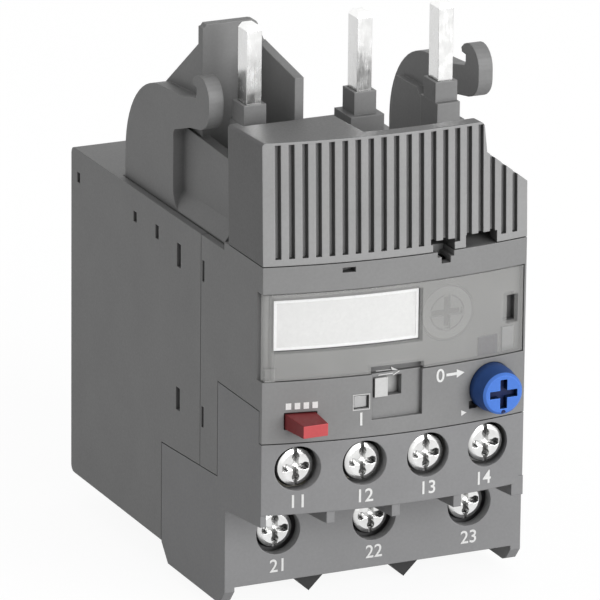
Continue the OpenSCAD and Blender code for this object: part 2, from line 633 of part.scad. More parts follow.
// A pin with a chamfered tip, and the strap that joins it to its heater
module contactor_pin(i) place() color("silver") {
    x = pin_x[i];
    tip = deck_z + pin_rise;
    hull() {
        block(x - pin_w / 2, x + pin_w / 2, pin_y, pin_y + pin_t, tip - 2, tip - 0.7);
        block(x - pin_w / 2 + 0.4, x + pin_w / 2 - 0.4, pin_y + 0.4, pin_y + pin_t - 0.4, tip - 0.1, tip);
    }
    block(x - pin_w / 2, x + pin_w / 2, pin_y, pin_y + pin_t, strap_z, tip - 1.5);
    translate([0, 0, strap_z]) linear_extrude(strap_t) polygon([
        [x - pin_w / 2, pin_y], [x + pin_w / 2, pin_y], [x + pin_w / 2, 12], [main_x[i] + 1.5, 18],
        [main_x[i] + 1.5, strip_y - 1.8], [main_x[i] - 1.5, strip_y - 1.8], [main_x[i] - 1.5, 18],
        [x - pin_w / 2, 12]]);
}

// Heater: a flat strip wound round the bimetal, with a lead at each end
module heater_winding(i) place() color("darkgoldenrod") translate([main_x[i], 0, 0]) {
    hx = 1.6;
    y0 = strip_y - 0.8;
    y1 = strip_y + strip_w + 0.8;
    top = heater_low + heater_turns * heater_pitch;
    for (t = [0:heater_turns - 1]) {
        z = heater_low + t * heater_pitch;
        block(-hx - heater_t, hx + heater_t, y1, y1 + heater_t, z, z + heater_strip);
        block(hx, hx + heater_t, y0 - heater_t, y1 + 0.1, z, z + heater_strip);
        block(-hx - heater_t, hx + 0.1, y0 - heater_t, y0, z, z + heater_strip);
        if (t < heater_turns - 1)
            yz(-hx - heater_t, -hx) polygon([
                [y0 - heater_t, z], [y0, z], [y1, z + heater_pitch], [y1 + heater_t, z + heater_pitch],
                [y1 + heater_t, z + heater_pitch + heater_strip], [y1, z + heater_pitch + heater_strip],
                [y0, z + heater_strip], [y0 - heater_t, z + heater_strip]]);
    }
    block(-1, 1, y1, y1 + heater_t, strip_low, heater_low + 0.2);
    block(-1, 1, y0 - heater_t, y0, top - heater_pitch + 0.2, strap_z + strap_t);
    block(-1, 1, strip_y - 1.8, y0, strap_z, strap_z + strap_t);
}

module bimetal_strip(i) place() color("peru")
    block(main_x[i] - strip_t / 2, main_x[i] + strip_t / 2, strip_y, strip_y + strip_w, strip_low, strip_top);

// Load bar: down into the clamp, back under the bimetal
module load_bar(i) place() color("silver") {
    x0 = main_x[i] - main_bar_w / 2;
    x1 = main_x[i] + main_bar_w / 2;
    block(x0, x1, main_bar_y, main_bar_y + main_bar_t, main_z - 3.2, strip_low);
    block(x0, x1, main_bar_y, strip_y + strip_w + 2, bar_run_z, strip_low);
}

// A clamp screw along y: a domed head with a cross recess and one long slot
module screw(x, z, y, head_r, head_t, shank_r, tip) translate([x, y, z]) difference() {
    union() {
        rotate([-90, 0, 0]) rotate_extrude() polygon([
            [0, 0], [head_r - 0.8, 0], [head_r - 0.25, 0.25], [head_r, 0.7], [head_r, head_t], [0, head_t]]);
        rod(0, 0, head_t - 0.1, tip - y, shank_r);
    }
    for (a = [0, 90]) rotate([0, a, 0]) cube([head_r * 1.36, 2.2, 0.8], center = true);
    for (a = [0, 90, 180, 270]) rotate([0, a, 0]) translate([head_r * 0.5, 0, 0])
        rotate([-90, 0, 0]) cylinder(r = 0.55, h = 2.4, center = true, $fn = 16);
    rotate([0, 90, 0]) cube([head_r * 2.2, 1.5, 0.6], center = true);
}

module main_screw(i) place() color("silver")
    screw(main_x[i], main_z, main_head_y, main_head_r, main_head_t, main_shank_r, main_bar_y - gap);

module aux_screw(i) place() color("silver")
    screw(aux_x[i], aux_screw_z, bow(aux_x[i]) + aux_head_in, aux_head_r, aux_head_t, aux_shank_r,
          aux_bar_y - 0.15);

// A clamp: a loop round the bar, threaded on the screw
module main_clamp(i) place() color("goldenrod") translate([main_x[i], 0, main_z]) difference() {
    block(-main_clamp_w / 2, main_clamp_w / 2, main_clamp_y, main_clamp_back + main_clamp_t,
          -main_clamp_h / 2, main_clamp_h / 2);
    block(-main_clamp_w / 2 + 1, main_clamp_w / 2 - 1, main_clamp_y + main_clamp_t, main_clamp_back,
          -main_clamp_h, main_clamp_h);
    rod(0, 0, 0, main_bar_y, main_shank_r + fit);
}

module aux_clamp(i) place() color("goldenrod") translate([aux_x[i], 0, 0]) difference() {
    block(-aux_clamp_w / 2, aux_clamp_w / 2, aux_clamp_y, aux_clamp_back + aux_clamp_t,
          aux_clamp_low, aux_clamp_top);
    block(-aux_clamp_w / 2 + 0.8, aux_clamp_w / 2 - 0.8, aux_clamp_y + aux_clamp_t, aux_clamp_back,
          aux_clamp_low - 1, aux_clamp_top + 1);
    rod(0, aux_screw_z, aux_clamp_y - 1, aux_bar_y, aux_shank_r + fit);
}

// Auxiliary bar: up from the clamp, back, and up again to the fixed contact
module aux_bar(i) place() color("silver") {
    x0 = aux_x[i] - aux_bar_w / 2;
    x1 = aux_x[i] + aux_bar_w / 2;
    block(x0, x1, aux_bar_y, aux_bar_y + aux_bar_t, aux_screw_z - 3, jog_z + aux_bar_t);
    block(x0, x1, aux_bar_y, contact_y + aux_bar_t, jog_z, jog_z + aux_bar_t);
    block(x0 + 0.8, x1 - 0.8, contact_y, contact_y + aux_bar_t, jog_z, contact_z + 1.8);
    // Contact rivet, on the front of the break side and the back of the make side
    y = i < 2 ? contact_y - 0.2 : contact_y + aux_bar_t - 0.1;
    rod(aux_x[i], contact_z, y, y + 0.3, 0.9);
}

// Trip slide: a comb over the strips, with an arm to the lever
module trip_slide() place() color("ivory") difference() {
    union() {
        block(-main_pitch - 4.4, main_pitch + 1.7, strip_y - 1.2, strip_y + strip_w + 1.2,
              slide_z, slide_z + slide_t);
        // Arm that passes the lever's sleeve, and its foot at the lever's tip
        block(pin_w / 2 + gap, lever_x - lever_r - trip_travel - gap, lever_y - lever_arm - 1.4, strip_y,
              slide_z, slide_z + slide_t);
        block(pin_w / 2 + gap, lever_x - 1.5, lever_y - lever_arm - 1.4, lever_y - lever_arm + 0.2,
              slide_z, slide_z + slide_t);
    }
    for (x = main_x)
        block(x - strip_t / 2 - gap - trip_travel, x + strip_t / 2 + gap, strip_y - gap,
              strip_y + strip_w + gap, slide_z - 1, slide_z + slide_t + 1);
}

// Trip lever: a sleeve on the pin, an arm for the slide and one for the carrier
module trip_lever() place() color("ivory") translate([lever_x, lever_y, 0]) difference() {
    union() {
        translate([0, 0, contact_z - 1.5]) cylinder(r = lever_r, h = deck_low - gap - contact_z + 1.5);
        block(-1.2, 0.4, -lever_arm - 0.5, 0, slide_z - 0.2, slide_z + slide_t + 0.6);
        block(-6, 0, -0.8, 0.8, contact_z - 1.5, contact_z + 1.5);
    }
    translate([0, 0, contact_z - 5]) cylinder(r = lever_pin_r + fit, h = 30);
}

module lever_pin() place() color("silver")
    translate([lever_x, lever_y, lid_z(2.75) + wall])
        cylinder(r = lever_pin_r, h = deck_low - lid_z(2.75) - wall);

// Contact carrier: a beam behind the bars, with a finger between the break contacts
module contact_carrier() place() color("ivory") difference() {
    finger = (aux_x[0] + aux_x[1]) / 2;
    back = lever_y - 0.8 - 0.5;
    union() {
        block(finger - 3, aux_x[3] - 0.5, back - 2.5, back, contact_z - 1.5, contact_z + 1.5);
        block(finger - 1.2, finger + 1.2, contact_y - 1.9, back - 1, contact_z - 1.5, contact_z + 1.5);
    }
    block(finger - 2, finger + 2, contact_y - 1.2 - fit, contact_y - 0.5 + fit, contact_z - 1, contact_z + 1);
    // Clear of the lever's sleeve
    translate([lever_x, lever_y, contact_z - 5]) cylinder(r = lever_r + gap, h = 10);
}

// Break contact: the bridge before the two left bars
module break_contact() place() color("goldenrod")
    block(aux_x[0] - 1.6, aux_x[1] + 1.6, contact_y - 1.2, contact_y - 0.5,
          contact_z - 1 + fit, contact_z + 1 - fit);

// Make contact: the bridge behind the two right bars
module make_contact() place() color("goldenrod") union() {
    back = lever_y - 0.8 - 0.5 - 2.5;
    block(aux_x[2] - 1.6, aux_x[3] + 1.6, back - 0.7, back, contact_z - 1, contact_z + 1);
}

rear_housing();
hook_deck();
ribbed_shroud();
front_housing();
terminal_block();
label_plate();
window_cover();
setting_dial();
reset_knob();
reset_plunger();
reset_spring();
stop_button();
stop_spring();
test_slider();
trip_flag();
contactor_pin(0);  // contactor_pin_1
contactor_pin(1);  // contactor_pin_2
contactor_pin(2);  // contactor_pin_3
heater_winding(0);  // heater_winding_1
heater_winding(1);  // heater_winding_2
heater_winding(2);  // heater_winding_3
bimetal_strip(0);  // bimetal_strip_1
bimetal_strip(1);  // bimetal_strip_2
bimetal_strip(2);  // bimetal_strip_3
load_bar(0);  // load_bar_1
load_bar(1);  // load_bar_2
load_bar(2);  // load_bar_3
main_screw(0);  // main_screw_1
main_screw(1);  // main_screw_2
main_screw(2);  // main_screw_3
main_clamp(0);  // main_clamp_1
main_clamp(1);  // main_clamp_2
main_clamp(2);  // main_clamp_3
aux_bar(0);  // aux_bar_1
aux_bar(1);  // aux_bar_2
aux_bar(2);  // aux_bar_3
aux_bar(3);  // aux_bar_4
aux_screw(0);  // aux_screw_1
aux_screw(1);  // aux_screw_2
aux_screw(2);  // aux_screw_3
aux_screw(3);  // aux_screw_4
aux_clamp(0);  // aux_clamp_1
aux_clamp(1);  // aux_clamp_2
aux_clamp(2);  // aux_clamp_3
aux_clamp(3);  // aux_clamp_4
trip_slide();
trip_lever();
lever_pin();
contact_carrier();
break_contact();
make_contact();
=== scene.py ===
"""Looks of a plug-on three-pole thermal overload relay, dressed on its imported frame.

The frame holds every solid at its real size, in metres. This script gives each
solid its finish, adds the printed marks and the small trim, and sets the studio.
"""

import json
import logging
import math
from dataclasses import dataclass, field
from enum import Enum
from typing import Any, Callable, Dict, List, Optional, Sequence, Tuple

import bpy
from mathutils import Matrix, Vector
from mathutils.bvhtree import BVHTree

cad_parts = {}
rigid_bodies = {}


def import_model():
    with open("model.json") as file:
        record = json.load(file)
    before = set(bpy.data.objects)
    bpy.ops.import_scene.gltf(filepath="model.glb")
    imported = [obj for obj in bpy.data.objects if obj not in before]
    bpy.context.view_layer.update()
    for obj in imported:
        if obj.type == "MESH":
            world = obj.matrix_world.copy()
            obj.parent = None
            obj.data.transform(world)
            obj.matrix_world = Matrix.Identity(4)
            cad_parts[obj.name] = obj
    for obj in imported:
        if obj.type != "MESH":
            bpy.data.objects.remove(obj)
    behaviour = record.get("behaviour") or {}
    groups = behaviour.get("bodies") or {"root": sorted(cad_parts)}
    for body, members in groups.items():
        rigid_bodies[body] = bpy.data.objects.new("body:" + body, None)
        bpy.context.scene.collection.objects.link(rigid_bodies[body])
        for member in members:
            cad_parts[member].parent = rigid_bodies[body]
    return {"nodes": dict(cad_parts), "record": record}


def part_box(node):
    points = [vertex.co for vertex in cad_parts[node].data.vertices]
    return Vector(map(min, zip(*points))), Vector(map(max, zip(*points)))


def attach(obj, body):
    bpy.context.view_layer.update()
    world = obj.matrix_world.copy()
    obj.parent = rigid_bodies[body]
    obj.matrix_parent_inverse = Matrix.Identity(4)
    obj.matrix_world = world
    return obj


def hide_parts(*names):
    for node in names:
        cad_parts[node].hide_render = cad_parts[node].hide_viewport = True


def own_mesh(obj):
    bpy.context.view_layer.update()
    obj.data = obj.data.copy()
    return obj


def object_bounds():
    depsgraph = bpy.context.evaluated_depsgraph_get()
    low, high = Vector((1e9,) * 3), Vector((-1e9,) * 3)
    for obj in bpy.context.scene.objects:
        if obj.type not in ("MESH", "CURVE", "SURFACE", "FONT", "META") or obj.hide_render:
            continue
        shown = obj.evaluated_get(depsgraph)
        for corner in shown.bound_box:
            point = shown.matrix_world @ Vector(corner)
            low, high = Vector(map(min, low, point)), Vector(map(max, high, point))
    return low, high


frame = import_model()
CAD_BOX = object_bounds()

MM = 0.001
# The ridges' tips below this height are painted dark as shade, and the side skirts beyond this distance
# stay unshaded
SHADED_FOOT_MM = 4.2
SKIRT_X = 20.9 * MM
# Flat shapes start this far before the object, and are laid back onto it
START_Y = CAD_BOX[0].y - 20 * MM
# How far printed lines stand out of the face they are laid on
INK = 0.03 * MM
SMOOTH_ANGLE = math.radians(35)
LOG = logging.getLogger("overload_relay")
Socket = bpy.types.NodeSocket
Thing = bpy.types.Object
# A point or a size in the front view, across and in height
Pair = Tuple[float, float]
Point = Tuple[float, float, float]
TREES: Dict[str, BVHTree] = {}


# ---- Shader helpers ----


def linear(hex_colour: str) -> Tuple[float, float, float, float]:
    """Turns an sRGB hex colour into linear RGBA.

    Args:
        hex_colour: Six hex digits, with or without a leading hash.

    Returns:
        The colour as four linear numbers, opaque.
    """
    digits = hex_colour.lstrip("#")
    values = [int(digits[i : i + 2], 16) / 255 for i in (0, 2, 4)]
    r, g, b = (v / 12.92 if v <= 0.04045 else ((v + 0.055) / 1.055) ** 2.4 for v in values)
    return (r, g, b, 1.0)


def add_node(
    tree: bpy.types.NodeTree, kind: str, inputs: Optional[Dict[Any, Any]] = None, **settings: Any
) -> bpy.types.Node:
    """Adds a node with its settings, its input values and its links.

    Args:
        tree: The node tree that gets the node.
        kind: The node's type name.
        inputs: Values or sockets by input name or number.
        **settings: Properties of the node itself.

    Returns:
        The new node.
    """
    node = tree.nodes.new(kind)
    for name, value in settings.items():
        setattr(node, name, value)
    for key, value in (inputs or {}).items():
        if isinstance(value, bpy.types.NodeSocket):
            tree.links.new(value, node.inputs[key])
        else:
            node.inputs[key].default_value = value
    return node


def per_metre(feature_mm: float) -> float:
    """The scale of a pattern whose features are this many millimetres across."""
    return 1.0 / (feature_mm * MM)


class Surface:
    """A material under construction: its tree, its object coordinates and its shader."""

    def __init__(self, name: str) -> None:
        """Starts an empty material.

        Args:
            name: The common name of the real material and its process.
        """
        self.material = bpy.data.materials.new(name)
        self.material.use_nodes = True
        self.tree = self.material.node_tree
        self.tree.nodes.clear()
        self.place = self.add("ShaderNodeTexCoord").outputs["Object"]
        self.shader = self.add("ShaderNodeBsdfPrincipled")
        self.add("ShaderNodeOutputMaterial", {"Surface": self.shader.outputs[0]})

    def add(self, kind: str, inputs: Optional[Dict[Any, Any]] = None, **settings: Any) -> bpy.types.Node:
        """Adds a node to this material's tree."""
        return add_node(self.tree, kind, inputs, **settings)

    def noise(self, feature_mm: float, detail: float = 2.0, stretch: Point = (1, 1, 1)) -> Socket:
        """A noise pattern in real millimetres.

        Args:
            feature_mm: The size of its features.
            detail: Octaves of finer noise.
            stretch: Scale along each axis, below 1 to draw the features out.

        Returns:
            The pattern's factor socket.
        """
        place = self.add("ShaderNodeMapping", {"Vector": self.place, "Scale": stretch}).outputs[0]
        inputs = {"Vector": place, "Scale": per_metre(feature_mm), "Detail": detail, "Roughness": 0.55}
        return self.add("ShaderNodeTexNoise", inputs).outputs[0]

    def spread(
        self, value: Socket, low: float, high: float, start: float = 0.3, end: float = 0.7
    ) -> Socket:
        """Maps a pattern's range from start to end onto low to high."""
        inputs = {"Value": value, 1: start, 2: end, 3: low, 4: high}
        return self.add("ShaderNodeMapRange", inputs).outputs[0]

    def math(self, operation: str, first: Any, second: Any) -> Socket:
        """One arithmetic step on two sockets or numbers."""
        return self.add("ShaderNodeMath", {0: first, 1: second}, operation=operation).outputs[0]

    def shade(self, colour: Any, factor: Socket) -> Socket:
        """Multiplies a colour by a grey factor."""
        inputs = {"Vector": colour, "Scale": factor}
        return self.add("ShaderNodeVectorMath", inputs, operation="SCALE").outputs[0]

    def cavity(self, depth_mm: float, darkest: float) -> Socket:
        """Painted shade: the dimming of corners and holes, from 1 in the open to darkest deep inside."""
        node = self.add("ShaderNodeAmbientOcclusion", {"Distance": depth_mm * MM}, samples=12)
        return self.spread(node.outputs["AO"], darkest, 1.0, 0.15, 0.8)

    def soft_edge(self, radius_mm: float) -> Socket:
        """The normal of an edge with a small moulding radius."""
        return self.add("ShaderNodeBevel", {"Radius": radius_mm * MM}, samples=6).outputs[0]

    def worn_edge(self, normal: Socket, gain: float) -> Socket:
        """A factor above 1 where the softened normal leaves the flat face: a highlight painted along the
        edges.

        Args:
            normal: The softened normal.
            gain: How much above 1 it gets at the edge.

        Returns:
            The factor's socket.
        """
        flat = self.add("ShaderNodeNewGeometry").outputs["Normal"]
        dot = self.add("ShaderNodeVectorMath", {0: normal, 1: flat}, operation="DOT_PRODUCT")
        return self.spread(dot.outputs["Value"], 1.0 + gain, 1.0, 0.86, 0.995)

    def bump(self, height: Socket, depth_mm: float, normal: Optional[Socket] = None) -> Socket:
        """A relief over a normal.

        Args:
            height: The relief's pattern.
            depth_mm: Its depth.
            normal: The normal that it lies on, or None for the face's own.

        Returns:
            The new normal's socket.
        """
        inputs: Dict[Any, Any] = {"Height": height, "Distance": depth_mm * MM, "Strength": 1.0}
        if normal is not None:
            inputs["Normal"] = normal
        return self.add("ShaderNodeBump", inputs).outputs[0]

    def set(self, **values: Any) -> None:
        """Sets or links the shader's own sockets.

        Args:
            **values: Values or sockets, by socket name with underscores for blanks.
        """
        for name, value in values.items():
            key = name.replace("_", " ")
            socket = self.shader.inputs[key]
            if isinstance(value, bpy.types.NodeSocket):
                self.tree.links.new(value, socket)
            else:
                socket.default_value = value


# ---- Finishes ----


@dataclass(frozen=True)
class MouldedPlastic:
    """Injection-moulded plastic with a spark-eroded grain, with shade and edge highlights painted into its
    colour.

    Attributes:
        name: Material name.
        colour: sRGB hex colour of the open surface.
        roughness: Middle roughness.
        grain_mm: Width of one grain of the eroded tool surface.
        grain_depth_mm: Height of that grain.
        edge_mm: Moulding radius of the edges.
        cavity_mm: How deep the painted shade in corners reaches.
        darkest: Tone of that painted shade in the deepest corners.
        edge_gain: How much paler the edges are painted, as a highlight.
        clouds: Spread of the slow change of tone.
        shade_mm: How far off a wall still throws painted shade on the surface, 0 for none.
        shade: Tone of that painted shade where such walls close it in.
        foot_mm: Height below which the surface is painted dark as shade, 0 for none.
        foot: Tone of that painted shade.
        drawn: Tone painted as shade on the faces turned away from the front.
        gloss: Specular level.
    """

    name: str
    colour: str
    roughness: float = 0.5
    grain_mm: float = 0.28
    grain_depth_mm: float = 0.006
    edge_mm: float = 0.22
    cavity_mm: float = 2.2
    darkest: float = 0.34
    edge_gain: float = 0.22
    clouds: float = 0.035
    shade_mm: float = 0.0
    shade: float = 1.0
    foot_mm: float = 0.0
    foot: float = 1.0
    drawn: float = 1.0
    gloss: float = 0.3

    def make(self) -> bpy.types.Material:
        """Builds the material."""
        s = Surface(self.name)
        grain = s.noise(self.grain_mm, 3.0)
        clouds = s.spread(s.noise(8.0, 3.0), 1 - self.clouds, 1 + self.clouds)
        speckle = s.spread(s.noise(0.45, 1.0), 0.975, 1.025)
        edge = s.soft_edge(self.edge_mm)
        colour = s.shade(linear(self.colour)[:3], clouds)
        # Painted shade in corners and holes, and a painted highlight along the edges
        corner_shade_painted = s.cavity(self.cavity_mm, self.darkest)
        for factor in (speckle, corner_shade_painted, s.worn_edge(edge, self.edge_gain)):
            colour = s.shade(colour, factor)
        # Painted shade where walls further off close the surface in
        if self.shade_mm:
            colour = s.shade(colour, s.cavity(self.shade_mm, self.shade))
        if self.foot_mm:
            # Painted shade on the ridges' tips, which lie in shade behind the face; the side skirts stay
            # unshaded
            axes = s.add("ShaderNodeSeparateXYZ", {"Vector": s.place}).outputs
            low = s.spread(axes["Z"], self.foot, 1.0, (self.foot_mm - 0.3) * MM, self.foot_mm * MM)
            side = s.spread(s.math("ABSOLUTE", axes["X"], 0.0), 0.0, 1.0, SKIRT_X - 0.1 * MM, SKIRT_X)
            colour = s.shade(colour, s.math("MAXIMUM", low, side))
        if self.drawn < 1.0:
            # Painted shade on the faces turned away from the front
            normal = s.add("ShaderNodeNewGeometry").outputs["Normal"]
            axes = s.add("ShaderNodeSeparateXYZ", {"Vector": normal}).outputs
            across = s.math("ABSOLUTE", axes["Y"], 0.0)
            colour = s.shade(colour, s.spread(across, self.drawn, 1.0, 0.25, 0.75))
        s.set(
            Base_Color=colour,
            Roughness=s.spread(grain, self.roughness - 0.07, self.roughness + 0.07),
            Normal=s.bump(grain, self.grain_depth_mm, edge),
            IOR=1.53,
            Specular_IOR_Level=self.gloss,
        )
        return s.material


@dataclass(frozen=True)
class ClearPolycarbonate:
    """Thin clear moulding, slightly smoky, with a polished face.

    Attributes:
        name: Material name.
        colour: sRGB hex colour of the haze.
        alpha: Share of the view that the haze covers.
    """

    name: str
    colour: str
    alpha: float

    def make(self) -> bpy.types.Material:
        """Builds the material."""
        s = Surface(self.name)
        waves = s.noise(6.0, 1.0)
        s.set(
            Base_Color=s.shade(linear(self.colour)[:3], s.spread(waves, 0.97, 1.03)),
            Roughness=s.spread(s.noise(1.2, 2.0), 0.1, 0.16),
            Normal=s.bump(waves, 0.01, s.soft_edge(0.15)),
            IOR=1.585,
            Alpha=self.alpha,
        )
        return s.material


@dataclass(frozen=True)
class PlatedMetal:
    """Bright metal with a rolled, drawn or plated surface, and shade painted into its corners.

    Attributes:
        name: Material name.
        colour: sRGB hex colour of the metal.
        roughness: Middle roughness.
        lines_mm: Width of the drawing lines.
        stretch: Scale along each axis, below 1 along the lines.
        depth_mm: Height of the lines.
        darkest: Tone of the painted shade in the deepest corners.
    """

    name: str
    colour: str
    roughness: float = 0.28
    lines_mm: float = 0.12
    stretch: Point = (1, 1, 0.05)
    depth_mm: float = 0.002
    darkest: float = 0.12

    def make(self) -> bpy.types.Material:
        """Builds the material."""
        s = Surface(self.name)
        lines = s.noise(self.lines_mm, 2.0, self.stretch)
        stains = s.noise(1.6, 3.0)
        edge = s.soft_edge(0.12)
        colour = s.shade(linear(self.colour)[:3], s.spread(stains, 0.94, 1.02))
        # Painted shade in corners and holes
        colour = s.shade(colour, s.cavity(1.2, self.darkest))
        drawn = s.spread(lines, self.roughness - 0.04, self.roughness + 0.05)
        s.set(
            Base_Color=colour,
            Metallic=1.0,
            Roughness=s.math("ADD", s.spread(stains, -0.05, 0.06), drawn),
            Normal=s.bump(lines, self.depth_mm, edge),
        )
        return s.material


@dataclass(frozen=True)
class PrintInk:
    """Pad-printed ink: flat, opaque, with a slightly broken coat.

    Attributes:
        name: Material name.
        colour: sRGB hex colour of the ink.
    """

    name: str
    colour: str

    def make(self) -> bpy.types.Material:
        """Builds the material."""
        s = Surface(self.name)
        coat = s.noise(0.3, 3.0)
        s.set(
            Base_Color=s.shade(linear(self.colour)[:3], s.spread(coat, 0.93, 1.0)),
            Roughness=s.spread(coat, 0.55, 0.7),
            Normal=s.bump(coat, 0.004),
            IOR=1.5,
        )
        return s.material


class Finish(Enum):
    """Each finish of the relay, by the real material and how it was made, with shade and highlights
    painted into some of them.
    """

    # Glass-filled polyamide, moulded in a spark-eroded tool: an even, dull grey grain
    HOUSING = MouldedPlastic("polyamide_grey_moulded", "#8A8A8A")
    FRONT = MouldedPlastic("polyamide_grey_front_moulded", "#8B8B8B")
    # The terminal block's ridges stand in the wire entries, and their tips, in shade behind the face, are
    # painted dark
    TERMINAL = MouldedPlastic("polyamide_grey_terminal_moulded", "#8D8D8E", foot_mm=SHADED_FOOT_MM, foot=0.16)
    FRONT_PALE = MouldedPlastic("polyamide_grey_pale_moulded", "#A4A4A4", cavity_mm=1.0)
    # The ribbed face keeps its pale grain; its sides and top are painted deeper as shade, and so is what
    # walls further off close in
    SHROUD = MouldedPlastic(
        "polyamide_grey_ribbed_moulded", "#9E9E9E", cavity_mm=1.4, darkest=1.0,
        shade_mm=16.0, shade=0.7, drawn=0.46,
    )
    # Polyester film, screen printed white: bright and even, with a glossier rim
    LABEL = MouldedPlastic(
        "polyester_label_film", "#ECECEB", grain_mm=0.6, grain_depth_mm=0.001,
        edge_mm=0.05, cavity_mm=0.8, darkest=1.0, edge_gain=0.0, clouds=0.01,
    )
    LABEL_RIM = MouldedPlastic(
        "polyester_label_rim_gloss", "#FFFFFF", roughness=0.35, grain_mm=0.6, grain_depth_mm=0.001,
        edge_mm=0.05, cavity_mm=0.8, darkest=1.0, edge_gain=0.0, clouds=0.01,
    )
    # Polycarbonate, moulded clear: a satin haze, a polished pane and a milky lens
    CLEAR = ClearPolycarbonate("polycarbonate_clear_satin", "#D0D0CE", alpha=0.34)
    POLISHED = ClearPolycarbonate("polycarbonate_clear_polished", "#EFEFED", alpha=0.03)
    LENS = ClearPolycarbonate("polycarbonate_lens_moulded", "#D4D4D4", alpha=0.7)
    # The same resin, thicker and faintly violet, so it reads as a grey block
    TINTED = MouldedPlastic(
        "polycarbonate_smoke_moulded", "#5F5D63", roughness=0.3, grain_mm=0.5, grain_depth_mm=0.002,
        edge_mm=0.2, cavity_mm=1.0, darkest=0.6, edge_gain=0.1, clouds=0.02,
    )
    # Acetal, moulded: a pale, waxy grey
    DIAL = MouldedPlastic(
        "acetal_dial_moulded", "#B4B4B2", roughness=0.4, grain_mm=0.3, grain_depth_mm=0.003,
        edge_mm=0.15, cavity_mm=1.2, darkest=0.5, edge_gain=0.1,
    )
    # ABS, coloured through: the faces turned from the front are painted deep as shade, and the edges
    # painted pale as highlights
    BLUE = MouldedPlastic(
        "abs_blue_moulded", "#5684DC", roughness=0.4, grain_mm=0.5, grain_depth_mm=0.003,
        edge_mm=0.25, cavity_mm=2.4, darkest=0.06, edge_gain=0.4, clouds=0.03, drawn=0.38, gloss=0.05,
    )
    RED = MouldedPlastic(
        "abs_red_moulded", "#C6575A", roughness=0.38, grain_mm=0.5, grain_depth_mm=0.003,
        edge_mm=0.2, cavity_mm=1.6, darkest=0.3, edge_gain=0.4, clouds=0.04, drawn=0.46, gloss=0.16,
    )
    # The same blue, nearly black, painted as shade on the floor of the deep driver slot
    NAVY = MouldedPlastic(
        "abs_navy_shaded", "#0E2050", roughness=0.4, grain_mm=0.5, grain_depth_mm=0.002,
        edge_mm=0.05, cavity_mm=1.0, darkest=0.6, edge_gain=0.0,
    )
    # ABS in pale grey for the slider, and undyed polyamide for what lies inside
    PALE = MouldedPlastic(
        "abs_pale_grey_moulded", "#CFCFCE", roughness=0.4, grain_mm=0.4, grain_depth_mm=0.003,
        edge_mm=0.15, cavity_mm=2.0, darkest=0.3, edge_gain=0.1,
    )
    INNER = MouldedPlastic(
        "polyamide_natural_moulded", "#D8D4C8", roughness=0.45, grain_mm=0.3, grain_depth_mm=0.004
    )
    # Tinned copper, drawn along its length: nearly white, with faint lines
    PIN = PlatedMetal("copper_tinned_drawn", "#FFFFFE", roughness=0.22)
    # Zinc-plated steel, cold headed and barrel plated: bright, faintly uneven, with nearly black painted
    # shade in its recesses
    SCREW = PlatedMetal(
        "steel_zinc_plated_headed", "#FFFFFE", roughness=0.2, lines_mm=0.2, stretch=(1, 0.3, 1),
        depth_mm=0.003, darkest=0.02,
    )
    CLAMP = PlatedMetal(
        "steel_zinc_plated_pressed", "#BDB9AC", roughness=0.38, lines_mm=0.2, stretch=(1, 1, 0.2),
        depth_mm=0.003,
    )
    # Drawn wire and rolled strip: darker, with lines along the metal
    SPRING = PlatedMetal(
        "steel_spring_wire_drawn", "#C4C6C8", roughness=0.3, lines_mm=0.1, stretch=(1, 0.2, 1)
    )
    HEATER = PlatedMetal(
        "nickel_chrome_strip_rolled", "#8A8078", roughness=0.45, lines_mm=0.2, stretch=(1, 0.1, 1)
    )
    BIMETAL = PlatedMetal(
        "bimetal_strip_rolled", "#A8977F", roughness=0.36, lines_mm=0.15, stretch=(1, 1, 0.1)
    )
    CONTACT = PlatedMetal(
        "bronze_contact_strip_rolled", "#C9A566", roughness=0.34, lines_mm=0.15, stretch=(0.1, 1, 1)
    )
    # Two-part ink on the moulding: white marks, and dark ones on the dial and the label's clip; the dark
    # ink also stands as painted shade on the floor of the dial's driver slot
    WHITE_INK = PrintInk("ink_white_pad_printed", "#EDEDEC")
    DARK_INK = PrintInk("ink_dark_pad_printed", "#2C2C2C")

    def material(self) -> bpy.types.Material:
        """The finish's material, made once."""
        found = bpy.data.materials.get(self.value.name)
        return found or self.value.make()


# ---- Modelling helpers ----


def clear_selection() -> None:
    """Leaves nothing selected and nothing active."""
    for thing in bpy.context.view_layer.objects:
        thing.select_set(False)
    bpy.context.view_layer.objects.active = None


def only(thing: Thing) -> Thing:
    """Selects one object alone and makes it active.

    Args:
        thing: The object.

    Returns:
        The same object.
    """
    clear_selection()
    thing.select_set(True)
    bpy.context.view_layer.objects.active = thing
    return thing


def apply_modifier(thing: Thing, kind: str, **settings: Any) -> None:
    """Adds a modifier with its settings and applies it.

    Args:
        thing: The object that gets the modifier.
        kind: The modifier's type.
        **settings: Its properties.
    """
    only(thing)
    modifier = thing.modifiers.new(kind.lower(), kind)
    for name, value in settings.items():
        setattr(modifier, name, value)
    bpy.ops.object.modifier_apply(modifier=modifier.name)


def select_faces(thing: Thing, test: Callable[[bpy.types.MeshPolygon], bool]) -> None:
    """Enters edit mode with only those faces selected that pass a test.

    Args:
        thing: The mesh object.
        test: Says whether a face is selected.
    """
    only(thing)
    bpy.ops.object.mode_set(mode="EDIT")
    bpy.ops.mesh.select_mode(type="FACE")
    bpy.ops.mesh.select_all(action="DESELECT")
    bpy.ops.object.mode_set(mode="OBJECT")
    for polygon in thing.data.polygons:
        polygon.select = test(polygon)
    bpy.ops.object.mode_set(mode="EDIT")


def object_mode() -> None:
    """Leaves edit mode."""
    bpy.ops.object.mode_set(mode="OBJECT")


